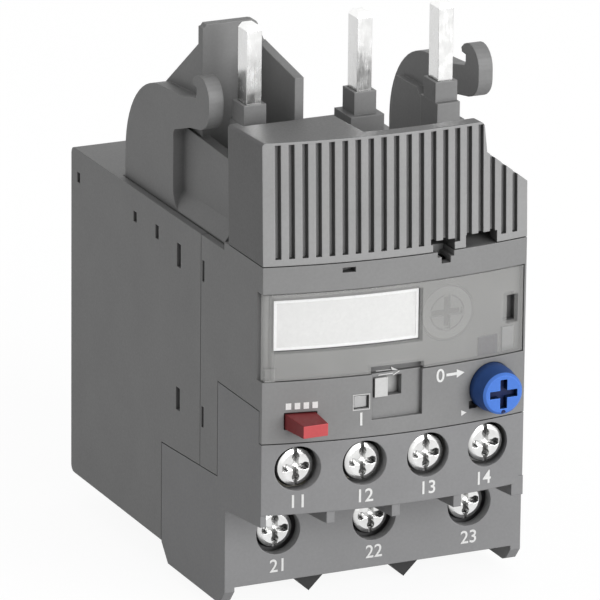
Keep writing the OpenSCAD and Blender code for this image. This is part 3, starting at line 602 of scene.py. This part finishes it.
def settle(thing: Thing, name: str, finish: Finish, body: str) -> Thing:
    """Names a finished piece, puts its place into its mesh, dresses it and lets it ride.

    Args:
        thing: The piece.
        name: Its name.
        finish: Its finish.
        body: The body that carries it.

    Returns:
        The piece.
    """
    only(thing)
    bpy.ops.object.transform_apply(location=True, rotation=True, scale=True)
    bpy.ops.object.mode_set(mode="EDIT")
    bpy.ops.mesh.select_all(action="SELECT")
    bpy.ops.mesh.remove_doubles(threshold=1e-7)
    bpy.ops.mesh.normals_make_consistent(inside=False)
    object_mode()
    thing.name = name
    thing.data.name = name
    thing.data.materials.clear()
    thing.data.materials.append(finish.material())
    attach(thing, body)
    LOG.info("%s rides on %s", name, body)
    return thing


def front_of(node: str, x: float, z: float) -> Optional[float]:
    """Finds how far forward a CAD node stands at a point of the front view.

    Args:
        node: The CAD node.
        x: The point across.
        z: The point in height.

    Returns:
        The y of the first surface met from the front, or None where there is none.
    """
    if node not in TREES:
        mesh = frame["nodes"][node].data
        points, faces = [v.co for v in mesh.vertices], [p.vertices for p in mesh.polygons]
        TREES[node] = BVHTree.FromPolygons(points, faces)
    place = TREES[node].ray_cast(Vector((x, START_Y, z)), Vector((0, 1, 0)))[0]
    return None if place is None else place.y


def lay_on(thing: Thing, node: str, proud: float, thickness: float) -> None:
    """Lays a flat upright shape on the front of a CAD node and gives it a thickness.

    A point that meets nothing, or meets something far behind the rest, takes its neighbour's depth.

    Args:
        thing: The flat mesh, facing -Y.
        node: The CAD node whose front carries it.
        proud: How far its face stands before the node; below 0 it lies behind.
        thickness: Thickness of the layer, behind its face.
    """
    low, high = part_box(node)
    edge, reach = 0.05 * MM, 4 * MM

    def within(value: float, start: float, end: float) -> float:
        """The value, kept a little inside the node's box."""
        return min(max(value, start + edge), end - edge)

    flat = [(v.co.x, v.co.z) for v in thing.data.vertices]
    depths = [front_of(node, within(x, low.x, high.x), within(z, low.z, high.z)) for x, z in flat]
    found = sorted(d for d in depths if d is not None)
    middle = found[len(found) // 2]
    met = [(p, d) for p, d in zip(flat, depths) if d is not None and abs(d - middle) < reach]
    for vertex, (x, z) in zip(thing.data.vertices, flat):
        nearest = min(met, key=lambda m: (m[0][0] - x) ** 2 + (m[0][1] - z) ** 2)
        vertex.co.y = nearest[1] - proud
    apply_modifier(thing, "SOLIDIFY", thickness=thickness, offset=-1.0 if faces_front(thing) else 1.0)
    bpy.ops.object.shade_smooth_by_angle(angle=SMOOTH_ANGLE)


def faces_front(thing: Thing) -> bool:
    """Whether the flat mesh's faces point to the front."""
    return sum(p.normal.y * p.area for p in thing.data.polygons) < 0


def upright_grid(low: Pair, high: Pair, columns: int, rows: int) -> Thing:
    """Makes an upright rectangle of quads that faces the front.

    Args:
        low: Its lower left corner, across and in height.
        high: Its upper right corner.
        columns: Quads across.
        rows: Quads in height.

    Returns:
        The mesh object, with its place in its mesh.
    """
    clear_selection()
    bpy.ops.mesh.primitive_grid_add(x_subdivisions=columns, y_subdivisions=rows, size=1.0)
    thing = bpy.context.object
    thing.scale = (high[0] - low[0], high[1] - low[1], 1)
    thing.rotation_euler = (math.pi / 2, 0, 0)
    thing.location = ((low[0] + high[0]) / 2, START_Y, (low[1] + high[1]) / 2)
    bpy.ops.object.transform_apply(location=True, rotation=True, scale=True)
    return thing


def ring(centre: Pair, outer: float, inner: float, steps: int, gap: int = 0) -> Thing:
    """Makes a flat upright ring, or the dashes of one.

    Args:
        centre: Its middle, across and in height.
        outer: Its outer radius.
        inner: Its inner radius.
        steps: Quads around it.
        gap: Leaves out one quad in this many, from the right on, or none at 0.

    Returns:
        The mesh object, with its place in its mesh.
    """
    clear_selection()
    bpy.ops.mesh.primitive_circle_add(vertices=steps, radius=outer, fill_type="NOTHING")
    thing = bpy.context.object
    bpy.ops.object.mode_set(mode="EDIT")
    bpy.ops.mesh.select_all(action="SELECT")
    bpy.ops.mesh.extrude_edges_move()
    bpy.ops.transform.resize(value=(inner / outer,) * 3, center_override=(0, 0, 0))
    object_mode()

    def unwanted(face: bpy.types.MeshPolygon) -> bool:
        """Whether the quad lies in a gap."""
        turn = math.atan2(face.center.y, face.center.x) % (2 * math.pi)
        return gap > 0 and int(turn / (2 * math.pi) * steps) % gap == 0

    select_faces(thing, unwanted)
    bpy.ops.mesh.delete(type="FACE")
    object_mode()
    thing.rotation_euler = (math.pi / 2, 0, 0)
    thing.location = (centre[0], START_Y, centre[1])
    bpy.ops.object.transform_apply(location=True, rotation=True, scale=True)
    return thing


def moved(place: Pair, by: Pair) -> Pair:
    """A point of the front view, moved across and in height."""
    return (place[0] + by[0], place[1] + by[1])


def join(parts: List[Thing]) -> Thing:
    """Joins mesh objects into the first one.

    Args:
        parts: The objects.

    Returns:
        The joined object.
    """
    clear_selection()
    for part in parts:
        part.select_set(True)
    bpy.context.view_layer.objects.active = parts[0]
    bpy.ops.object.join()
    return bpy.context.object


def copy_of(node: str) -> Thing:
    """Makes a copy of a CAD node, with its own mesh, that stands by itself.

    Args:
        node: The CAD node.

    Returns:
        The copy.
    """
    source = frame["nodes"][node]
    thing = source.copy()
    thing.data = source.data.copy()
    thing.parent = None
    thing.matrix_world = Matrix.Identity(4)
    bpy.context.scene.collection.objects.link(thing)
    return thing


def soft_block(low: Point, high: Point, radius: float) -> Thing:
    """Makes a block with rounded edges between two corners.

    Args:
        low: Its lowest corner.
        high: Its highest corner.
        radius: Radius of its edges.

    Returns:
        The mesh object, with its place in its mesh.
    """
    clear_selection()
    bpy.ops.mesh.primitive_cube_add(size=1.0)
    thing = bpy.context.object
    thing.scale = tuple(b - a for a, b in zip(low, high))
    thing.location = tuple((a + b) / 2 for a, b in zip(low, high))
    bpy.ops.object.transform_apply(location=True, rotation=True, scale=True)
    apply_modifier(thing, "BEVEL", width=radius, segments=3, limit_method="ANGLE")
    bpy.ops.object.shade_smooth_by_angle(angle=SMOOTH_ANGLE)
    return thing


# ---- Sub-assemblies ----


class PackedSolids:
    """The solids of the frame; the record's slots are the finishes' names in small letters."""

    def dress(self) -> None:
        """Gives every solid the finish of its slot."""
        for part in frame["record"]["subparts"]:
            thing = frame["nodes"][part["node"]]
            finish = Finish[part["material_slot"].upper()]
            if part["node"] == "terminal_block":
                finish = Finish.TERMINAL
            thing.data.materials.clear()
            thing.data.materials.append(finish.material())
            LOG.info("%s is %s", part["node"], finish.value.name)


class Shape(Enum):
    """Plain printed shapes."""

    BAR = "bar"
    ARROW = "arrow"
    TRIANGLE = "triangle"


@dataclass
class Printing:
    """Plain numbers and marks, pad printed on the mouldings.

    Attributes:
        digits: Height of the digits.
        font: Size of the font, for digits of height 1.
        swell: How far the digits' outlines are thickened, for the same.
        ink: Thickness of the ink.
        aux_drop: How far the upper numbers stand below the screw axes.
        main_drop: How far the lower numbers stand below the screw axes.
        last_shift: How far the last upper number stands left of its screw, clear of the corner.
        square: Width and height of a square above the stop button.
        square_pitch: Distance between the squares.
        square_start: Where the first one stands, in pitches left of the button's middle.
        square_rise: How far their middles stand above the button.
        reset_number: Middle of the knob's number, from the knob's upper left corner.
        reset_arrow: Middle of the knob's arrow, from the same.
        test_arrow: Middle of the slider's arrow, from the slider's upper left corner.
        flag_number: Middle of the indicator's number, from the middle of the flag's top.
        knob_mark: Middle of the triangle, from the knob's lower left corner.
        shaft: Half the thickness of an arrow's shaft, for an arrow of height 1.
    """

    digits: float = 1.9 * MM
    font: float = 1.38
    swell: float = 0.014
    ink: float = 0.06 * MM
    aux_drop: float = 4.75 * MM
    main_drop: float = 5.0 * MM
    last_shift: float = 0.7 * MM
    square: Pair = (0.75 * MM, 0.9 * MM)
    square_pitch: float = 1.2 * MM
    square_start: float = 1.4
    square_rise: float = 0.15 * MM
    reset_number: Pair = (-4.6 * MM, -0.75 * MM)
    reset_arrow: Pair = (-2.3 * MM, -0.7 * MM)
    test_arrow: Pair = (2.6 * MM, 0.25 * MM)
    flag_number: Pair = (0.0, -3.6 * MM)
    knob_mark: Pair = (-0.9 * MM, 0.1 * MM)
    shaft: float = 0.16

    def build(self) -> None:
        """Prints the numbers below the terminal screws and the marks beside the controls."""
        for row, count, drop, first in (("aux", 4, self.aux_drop, 11), ("main", 3, self.main_drop, 21)):
            for i in range(count):
                low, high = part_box(f"{row}_screw_{i + 1}")
                centre = (low + high) / 2
                shift = self.last_shift if row == "aux" and i == count - 1 else 0.0
                place = (centre.x - shift, centre.z - drop)
                self.number(f"{row}_number_{i + 1}", str(first + i), place, "terminal_block")
        self.control_marks()

    def control_marks(self) -> None:
        """Prints the squares, numbers, arrows and triangle beside the controls."""
        stop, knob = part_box("stop_button"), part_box("reset_knob")
        test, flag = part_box("test_slider"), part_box("trip_flag")
        middle = (stop[0].x + stop[1].x) / 2
        for i in range(4):
            place = (middle + (i - self.square_start) * self.square_pitch, stop[1].z + self.square_rise)
            self.mark(f"stop_mark_{i + 1}", Shape.BAR, place, self.square)
        corner = (knob[0].x, knob[1].z)
        self.number("reset_number", "0", moved(corner, self.reset_number), "front_housing")
        self.mark("reset_arrow", Shape.ARROW, moved(corner, self.reset_arrow), (2.8 * MM, 1.2 * MM))
        corner = (test[0].x, test[1].z)
        self.mark("test_arrow", Shape.ARROW, moved(corner, self.test_arrow), (3.2 * MM, 1.0 * MM))
        corner = ((flag[0].x + flag[1].x) / 2, flag[1].z)
        self.number("flag_number", "1", moved(corner, self.flag_number), "front_housing")
        corner = (knob[0].x, knob[0].z)
        self.mark("knob_mark", Shape.TRIANGLE, moved(corner, self.knob_mark), (0.8 * MM, 0.8 * MM))

    def number(self, name: str, text: str, place: Pair, node: str) -> None:
        """Prints one number.

        Args:
            name: Name of the piece.
            text: The digits.
            place: Its middle, across and in height.
            node: The CAD node that carries it.
        """
        clear_selection()
        bpy.ops.object.text_add(location=(place[0], START_Y, place[1]), rotation=(math.pi / 2, 0, 0))
        thing = bpy.context.object
        thing.data.body = text
        thing.data.size = self.digits * self.font
        thing.data.align_x = "CENTER"
        thing.data.align_y = "CENTER"
        thing.data.offset = self.swell * self.digits
        bpy.ops.object.convert(target="MESH")
        thing = only(bpy.context.object)
        bpy.ops.object.transform_apply(location=True, rotation=True, scale=True)
        lay_on(thing, node, self.ink, self.ink * 2)
        settle(thing, name, Finish.WHITE_INK, "housing")

    def mark(self, name: str, shape: Shape, place: Pair, size: Pair) -> None:
        """Prints one plain mark on the front housing.

        Args:
            name: Name of the piece.
            shape: Its shape.
            place: Its middle, across and in height.
            size: Its width and height.
        """
        (x, z), (width, height) = place, size
        if shape is Shape.TRIANGLE:
            thing = self.wedge(place, width, height)
        elif shape is Shape.ARROW:
            thin = self.shaft * height
            shaft = upright_grid((x - width / 2, z - thin), (x + width / 2 - height, z + thin), 4, 1)
            head = self.wedge((x + width / 2 - height / 2, z), height, height)
            thing = join([shaft, head])
        else:
            low, high = (x - width / 2, z - height / 2), (x + width / 2, z + height / 2)
            thing = upright_grid(low, high, 8, 1)
        lay_on(thing, "front_housing", self.ink, self.ink * 2)
        settle(thing, name, Finish.WHITE_INK, "housing")

    def wedge(self, place: Pair, width: float, height: float) -> Thing:
        """Makes a flat triangle that points to the right.

        Args:
            place: Its middle, across and in height.
            width: Its width.
            height: Its height.

        Returns:
            The mesh object, with its place in its mesh.
        """
        clear_selection()
        upright = (math.pi / 2, 0, 0)
        bpy.ops.mesh.primitive_circle_add(vertices=3, radius=1.0, fill_type="NGON", rotation=upright)
        thing = bpy.context.object
        bpy.ops.object.transform_apply(location=True, rotation=True, scale=True)
        across = [v.co.x for v in thing.data.vertices]
        tall = [v.co.z for v in thing.data.vertices]
        # The circle's first corner stands on top, so a quarter turn lays it to the right
        for vertex in thing.data.vertices:
            side = (vertex.co.x - min(across)) / (max(across) - min(across)) - 0.5
            rise = (vertex.co.z - min(tall)) / (max(tall) - min(tall)) - 0.5
            vertex.co = (place[0] + rise * width, START_Y, place[1] - side * height)
        return thing


@dataclass
class Label:
    """The white marker film behind the clear cover, with its pale rim and its clip.

    Attributes:
        rim: Width of the rim.
        rim_thickness: Thickness of the rim.
        grow_right: How far the film passes its carrier plate on the right.
        grow_down: How far it passes the plate below.
        film: Thickness of the film.
        behind: How far the film lies behind the plate's face, clear of the cover's back.
        clip_low: The clip's lower left corner, from the film's upper right corner.
        clip_high: The clip's upper right corner, from the same.
        clip_behind: How far the clip lies behind the plate's face.
        clip_thickness: Thickness of the clip.
    """

    rim: float = 0.38 * MM
    rim_thickness: float = 0.08 * MM
    grow_right: float = 0.7 * MM
    grow_down: float = 0.5 * MM
    film: float = 0.15 * MM
    behind: float = 0.06 * MM
    clip_low: Pair = (0.1 * MM, -4.1 * MM)
    clip_high: Pair = (0.45 * MM, -0.2 * MM)
    clip_behind: float = 0.02 * MM
    clip_thickness: float = 0.2 * MM

    def build(self) -> None:
        """Makes the film, its rim and its clip."""
        plate_low, plate_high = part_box("label_plate")
        low = (plate_low.x, plate_low.z - self.grow_down)
        high = (plate_high.x + self.grow_right, plate_high.z)
        film = upright_grid(low, high, 24, 4)
        lay_on(film, "label_plate", -self.behind, self.film)
        settle(film, "label_film", Finish.LABEL, "housing")
        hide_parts("label_plate")
        rim = self.rim_mesh(low, high)
        lay_on(rim, "label_plate", 0.0, self.rim_thickness)
        settle(rim, "label_rim", Finish.LABEL_RIM, "housing")
        clip = upright_grid(moved(high, self.clip_low), moved(high, self.clip_high), 1, 6)
        lay_on(clip, "label_plate", -self.clip_behind, self.clip_thickness)
        settle(clip, "label_clip", Finish.DARK_INK, "housing")

    def rim_mesh(self, low: Pair, high: Pair) -> Thing:
        """Makes the flat rim as four strips.

        Args:
            low: Its lower left corner, across and in height.
            high: Its upper right corner.

        Returns:
            The mesh object, with its place in its mesh.
        """
        (x0, z0), (x1, z1), r = low, high, self.rim
        strips = [
            upright_grid((x0, z0), (x1, z0 + r), 24, 1),
            upright_grid((x0, z1 - r), (x1, z1), 24, 1),
            upright_grid((x0, z0 + r), (x0 + r, z1 - r), 1, 4),
            upright_grid((x1 - r, z0 + r), (x1, z1 - r), 1, 4),
        ]
        return join(strips)


@dataclass
class SlotCross:
    """Painted shade on the floor of a cross-shaped driver slot.

    Attributes:
        length: Length of its bars.
        bar: Their width.
    """

    length: float
    bar: float

    def build(self, centre: Pair, node: str) -> Thing:
        """Makes the two bars, one a hair before the other so that no faces coincide.

        Args:
            centre: The slot's middle, across and in height.
            node: The CAD node that has the slot.

        Returns:
            The mesh object, laid on the node.
        """
        (x, z), half, bar = centre, self.length / 2, self.bar / 2
        upright = upright_grid((x - bar, z - half), (x + bar, z + half), 1, 6)
        level = upright_grid((x - half, z - bar), (x + half, z + bar), 6, 1)
        lay_on(upright, node, 0.04 * MM, 2 * INK)
        lay_on(level, node, 0.06 * MM, 2 * INK)
        return join([upright, level])


@dataclass
class DialScale:
    """What is printed on the setting dial and around it, and the painted shade in its driver slot.

    Attributes:
        ring: Radius of the printed ring on the dial.
        line: Width of the lines.
        inset: Distance of the outer ring from the dial's edge.
        steps: Quads around a ring.
        dash: Quads from one gap of the printed ring to the next.
        slot: The driver slot.
    """

    ring: float = 2.55 * MM
    line: float = 0.2 * MM
    inset: float = 0.02 * MM
    steps: int = 96
    dash: int = 12
    slot: SlotCross = field(default_factory=lambda: SlotCross(4.1 * MM, 0.86 * MM))

    def build(self) -> None:
        """Prints the rings, and fills the driver slot's floor with painted shade."""
        low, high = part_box("setting_dial")
        centre, radius = ((low.x + high.x) / 2, (low.z + high.z) / 2), (high.x - low.x) / 2
        inner = self.ring - self.line
        dashes = ring(centre, self.ring, inner, self.steps, self.dash)
        lay_on(dashes, "setting_dial", INK, 2 * INK)
        settle(dashes, "dial_ring", Finish.DARK_INK, "dial")
        rim = ring(centre, radius - self.inset, radius - self.line, self.steps)
        lay_on(rim, "setting_dial", INK, 2 * INK)
        settle(rim, "dial_rim", Finish.DARK_INK, "dial")
        # Painted shade on the driver slot's floor
        settle(self.slot.build(centre, "setting_dial"), "dial_slot_painted_shade", Finish.DARK_INK, "dial")


@dataclass
class KnobTrim:
    """Painted shade on the floor of the knob's driver slot, and its pointer dot.

    Attributes:
        slot: The driver slot.
        dot: Radius of the pointer dot.
        dot_rise: Height of its middle above the knob's lower edge.
        dot_hole: Radius of the pinhole that the dot's ring of quads leaves.
    """

    slot: SlotCross = field(default_factory=lambda: SlotCross(3.9 * MM, 0.96 * MM))
    dot: float = 0.32 * MM
    dot_rise: float = 0.75 * MM
    dot_hole: float = 0.05 * MM

    def build(self) -> None:
        """Makes the slot's painted shade and the dot."""
        low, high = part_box("reset_knob")
        x, z = (low.x + high.x) / 2, (low.z + high.z) / 2
        settle(self.slot.build((x, z), "reset_knob"), "knob_slot_painted_shade", Finish.NAVY, "knob")
        dot = ring((x, low.z + self.dot_rise), self.dot, self.dot_hole, 24)
        lay_on(dot, "reset_knob", INK, 2 * INK)
        settle(dot, "knob_dot", Finish.NAVY, "knob")


@dataclass
class WindowCover:
    """The hinged clear cover: satin outside, with a polished pane before the label.

    Attributes:
        margin: How far the pane passes the label.
        margin_left: The same at its left edge.
        margin_top: The same at its top edge.
    """

    margin: float = 0.15 * MM
    margin_left: float = 0.45 * MM
    margin_top: float = 0.4 * MM

    def build(self) -> None:
        """Copies the cover, cuts the pane's outline into it and polishes the pane."""
        thing = copy_of("window_cover")
        film_low, film_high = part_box("label_plate")
        label = Label()
        left, right = film_low.x - self.margin_left, film_high.x + label.grow_right + self.margin
        bottom, top = film_low.z - label.grow_down - self.margin, film_high.z + self.margin_top
        only(thing)
        bpy.ops.object.mode_set(mode="EDIT")
        for x in (left, right):
            bpy.ops.mesh.select_all(action="SELECT")
            bpy.ops.mesh.bisect(plane_co=(x, 0, 0), plane_no=(1, 0, 0))
        for z in (bottom, top):
            bpy.ops.mesh.select_all(action="SELECT")
            bpy.ops.mesh.bisect(plane_co=(0, 0, z), plane_no=(0, 0, 1))
        object_mode()
        settle(thing, "clear_cover", Finish.CLEAR, "cover")
        thing.data.materials.append(Finish.POLISHED.material())

        def in_pane(face: bpy.types.MeshPolygon) -> bool:
            """Whether the face is a front or back face of the pane."""
            x, _, z = face.center
            return left < x < right and bottom < z < top and abs(face.normal.y) > 0.8

        for face in thing.data.polygons:
            face.material_index = 1 if in_pane(face) else 0
        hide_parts("window_cover")


@dataclass
class ReturnSpring:
    """A coil spring behind a push piece, which rides on the piece.

    Attributes:
        node: The CAD node of the spring.
        body: The push piece's body, which carries it.
        joint: Not used; the joint that presses it.
        stroke: Not used; how far the piece is pressed.
    """

    node: str
    body: str
    joint: str
    stroke: float

    def build(self) -> None:
        """Copies the spring and lets it ride on the push piece."""
        thing = settle(copy_of(self.node), f"{self.node}_coil", Finish.SPRING, self.body)
        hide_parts(self.node)
        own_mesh(thing)


@dataclass
class WindowTrim:
    """The small blocks that show through the clear cover and in the indicator's hole.

    Attributes:
        block: The seal block's lower left and upper right corners, across and in height.
        block_layer: How far it stands proud, and its thickness.
        column: The corners of the column beside it.
        column_layer: How far that stands proud, and its thickness.
        hole: Half the width and half the height of the indicator's hole.
        hole_drop: How far the hole's middle lies below the flag's top.
        beside: Distance across from the hole's middle to a point of the wall around it.
        lens: Half the width and half the height of the lens.
        lens_depth: Where the lens starts and ends, behind the wall's face.
        lens_edge: Radius of its edges.
        rim: Width of the rim around the hole.
        rim_layer: How far the rim stands proud, and its thickness.
    """

    block: Tuple[Pair, Pair] = ((8.9 * MM, 37.7 * MM), (12.0 * MM, 40.4 * MM))
    block_layer: Pair = (0.35 * MM, 0.5 * MM)
    column: Tuple[Pair, Pair] = ((12.7 * MM, 37.8 * MM), (14.6 * MM, 41.2 * MM))
    column_layer: Pair = (0.45 * MM, 0.6 * MM)
    hole: Pair = (1.1 * MM, 1.0 * MM)
    hole_drop: float = 1.1 * MM
    beside: float = 1.5 * MM
    lens: Pair = (0.95 * MM, 0.85 * MM)
    lens_depth: Pair = (0.15 * MM, 0.6 * MM)
    lens_edge: float = 0.12 * MM
    rim: float = 0.14 * MM
    rim_layer: Pair = (0.05 * MM, 0.1 * MM)

    def build(self) -> None:
        """Makes the seal block, its column and the indicator's lens and rim."""
        block = upright_grid(*self.block, 8, 4)
        lay_on(block, "front_housing", *self.block_layer)
        settle(block, "seal_block", Finish.TINTED, "housing")
        column = upright_grid(*self.column, 6, 4)
        lay_on(column, "front_housing", *self.column_layer)
        settle(column, "seal_column", Finish.FRONT_PALE, "housing")
        flag_low, flag_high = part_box("trip_flag")
        x, z = (flag_low.x + flag_high.x) / 2, flag_high.z - self.hole_drop
        front = front_of("front_housing", x - self.beside, z)
        start, end = (front + depth for depth in self.lens_depth)
        a, b = self.lens
        lens = soft_block((x - a, start, z - b), (x + a, end, z + b), self.lens_edge)
        settle(lens, "indicator_lens", Finish.LENS, "housing")
        rim = self.frame_mesh((x, z), *self.hole, self.rim)
        lay_on(rim, "front_housing", *self.rim_layer)
        settle(rim, "indicator_rim", Finish.PALE, "housing")

    def frame_mesh(self, centre: Pair, half_x: float, half_z: float, line: float) -> Thing:
        """Makes a flat rectangular frame just outside the hole.

        Args:
            centre: The hole's middle, across and in height.
            half_x: Half its width.
            half_z: Half its height.
            line: Width of the frame.

        Returns:
            The mesh object, with its place in its mesh.
        """
        (x, z) = centre
        a, b = half_x + line, half_z + line
        return join(
            [
                upright_grid((x - a, z - b), (x + a, z - half_z), 4, 1),
                upright_grid((x - a, z + half_z), (x + a, z + b), 4, 1),
                upright_grid((x - a, z - half_z), (x - half_x, z + half_z), 1, 4),
                upright_grid((x + half_x, z - half_z), (x + a, z + half_z), 1, 4),
            ]
        )


# ---- Studio ----


@dataclass
class Viewpoint:
    """The camera, given by its direction, its distance and the ray it looks along.

    Attributes:
        azimuth: Degrees to the right of the front.
        elevation: Degrees above the horizon.
        roll: Degrees of tilt about the view axis.
        distance: Distance from the anchor along the view.
        lens_mm: Focal length on a 36 mm sensor.
        anchor: A point of the object that the offsets start from.
        right: Offset of the view axis to the right.
        up: Offset of the view axis upwards.
    """

    azimuth: float = -25.044
    elevation: float = 18.221
    roll: float = 0.603
    distance: float = 1044.03 * MM
    lens_mm: float = 455.36
    anchor: Point = (0.0, -17.522 * MM, 4.3 * MM)
    right: float = -10.113 * MM
    up: float = 36.659 * MM

    def build(self) -> Thing:
        """Makes the camera and sets it as the scene's.

        Returns:
            The camera.
        """
        a, e, r = (math.radians(v) for v in (self.azimuth, self.elevation, self.roll))
        back = Vector((math.sin(a) * math.cos(e), -math.cos(a) * math.cos(e), math.sin(e)))
        across = Vector((math.cos(a), math.sin(a), 0.0))
        over = back.cross(across)
        right = math.cos(r) * across + math.sin(r) * over
        up = -math.sin(r) * across + math.cos(r) * over
        data = bpy.data.cameras.new("camera")
        data.sensor_width = 36.0
        data.lens = self.lens_mm
        data.clip_start, data.clip_end = 0.05, 20.0
        camera = bpy.data.objects.new("camera", data)
        bpy.context.scene.collection.objects.link(camera)
        matrix = Matrix((right, up, back)).transposed().to_4x4()
        matrix.translation = Vector(self.anchor) + self.right * right + self.up * up + self.distance * back
        camera.matrix_world = matrix
        bpy.context.scene.camera = camera
        return camera


@dataclass
class Lamp:
    """A square soft box that looks at the object.

    Attributes:
        name: Its name.
        azimuth: Degrees to the right of the front.
        elevation: Degrees above the horizon.
        power: Watts.
        side: Side of the soft box.
        distance: Distance from the object's middle.
    """

    name: str
    azimuth: float
    elevation: float
    power: float
    side: float = 0.35
    distance: float = 0.7

    def build(self, target: Vector) -> None:
        """Hangs the lamp so that it faces the target.

        Args:
            target: The point it looks at.
        """
        a, e = math.radians(self.azimuth), math.radians(self.elevation)
        back = Vector((math.sin(a) * math.cos(e), -math.cos(a) * math.cos(e), math.sin(e)))
        data = bpy.data.lights.new(self.name, "AREA")
        data.energy = self.power
        data.size = self.side
        lamp = bpy.data.objects.new(self.name, data)
        bpy.context.scene.collection.objects.link(lamp)
        lamp.location = target + back * self.distance
        lamp.rotation_mode = "QUATERNION"
        lamp.rotation_quaternion = back.to_track_quat("Z", "Y")


@dataclass
class Studio:
    """Pale floor, even white surroundings and soft boxes.

    Attributes:
        ambient: Strength of the surroundings as a light.
        floor_side: Side of the floor.
        floor_colour: sRGB hex colour of the floor's paint.
        glow: Strength of the floor's own light.
        glow_seen: Its share to the eye and through glass.
        glow_mirrored: Its share in gloss and metal.
        lamps: The soft boxes.
    """

    ambient: float = 0.4
    floor_side: float = 6.0
    floor_colour: str = "#D8D8D8"
    glow: float = 1.15
    glow_seen: float = 0.8
    glow_mirrored: float = 0.45
    lamps: List[Lamp] = field(
        default_factory=lambda: [
            Lamp("key", azimuth=18.0, elevation=13.0, power=21.0, side=1.1, distance=1.6),
        ]
    )

    def build(self) -> None:
        """Makes the floor, the surroundings, the lamps and the camera."""
        self.floor()
        self.surroundings()
        low, high = CAD_BOX
        for lamp in self.lamps:
            lamp.build((low + high) / 2)
        Viewpoint().build()
        bpy.context.scene.view_settings.view_transform = "Standard"

    def floor(self) -> None:
        """Lays the floor, painted matt white, which keeps a soft shadow."""
        clear_selection()
        bpy.ops.mesh.primitive_plane_add(size=self.floor_side, location=(0, 0, CAD_BOX[0].z - 0.02 * MM))
        thing = bpy.context.object
        thing.name = "floor"
        s = Surface("paint_white_matt")
        s.set(Base_Color=linear(self.floor_colour), Roughness=0.9)
        glow = s.add("ShaderNodeEmission", {"Color": (1, 1, 1, 1), "Strength": self.glow})
        rays = s.add("ShaderNodeLightPath").outputs
        seen = s.math("MAXIMUM", rays["Is Camera Ray"], rays["Is Transmission Ray"])
        mirrored = s.math("MULTIPLY", rays["Is Glossy Ray"], self.glow_mirrored)
        seen = s.math("MAXIMUM", s.math("MULTIPLY", seen, self.glow_seen), mirrored)
        mix = s.add("ShaderNodeMixShader", {0: seen, 1: s.shader.outputs[0], 2: glow.outputs[0]})
        output = next(n for n in s.tree.nodes if n.type == "OUTPUT_MATERIAL")
        s.tree.links.new(mix.outputs[0], output.inputs["Surface"])
        thing.data.materials.append(s.material)

    def surroundings(self) -> None:
        """Lights the object evenly, and shows white to the eye, in metal and through glass."""
        world = bpy.data.worlds.new("studio")
        bpy.context.scene.world = world
        world.use_nodes = True
        tree = world.node_tree
        tree.nodes.clear()
        rays = add_node(tree, "ShaderNodeLightPath").outputs
        seen = rays["Is Camera Ray"]
        for name in ("Is Glossy Ray", "Is Transmission Ray"):
            inputs = {0: seen, 1: rays[name]}
            seen = add_node(tree, "ShaderNodeMath", inputs, operation="MAXIMUM").outputs[0]
        inputs = {"Value": seen, 3: self.ambient, 4: 1.0}
        strength = add_node(tree, "ShaderNodeMapRange", inputs).outputs[0]
        light = add_node(tree, "ShaderNodeBackground", {"Color": (1, 1, 1, 1), "Strength": strength})
        add_node(tree, "ShaderNodeOutputWorld", {"Surface": light.outputs[0]})


def main() -> None:
    """Dresses the relay, adds its trim and sets the studio."""
    logging.basicConfig(level=logging.INFO, format="%(name)s: %(message)s")
    PackedSolids().dress()
    Label().build()
    WindowCover().build()
    DialScale().build()
    KnobTrim().build()
    WindowTrim().build()
    ReturnSpring("reset_spring", "plunger", "reset_press", 2.5 * MM).build()
    ReturnSpring("stop_spring", "stop", "stop_press", 2.0 * MM).build()
    Printing().build()
    Studio().build()


if __name__ == "__main__":
    main()
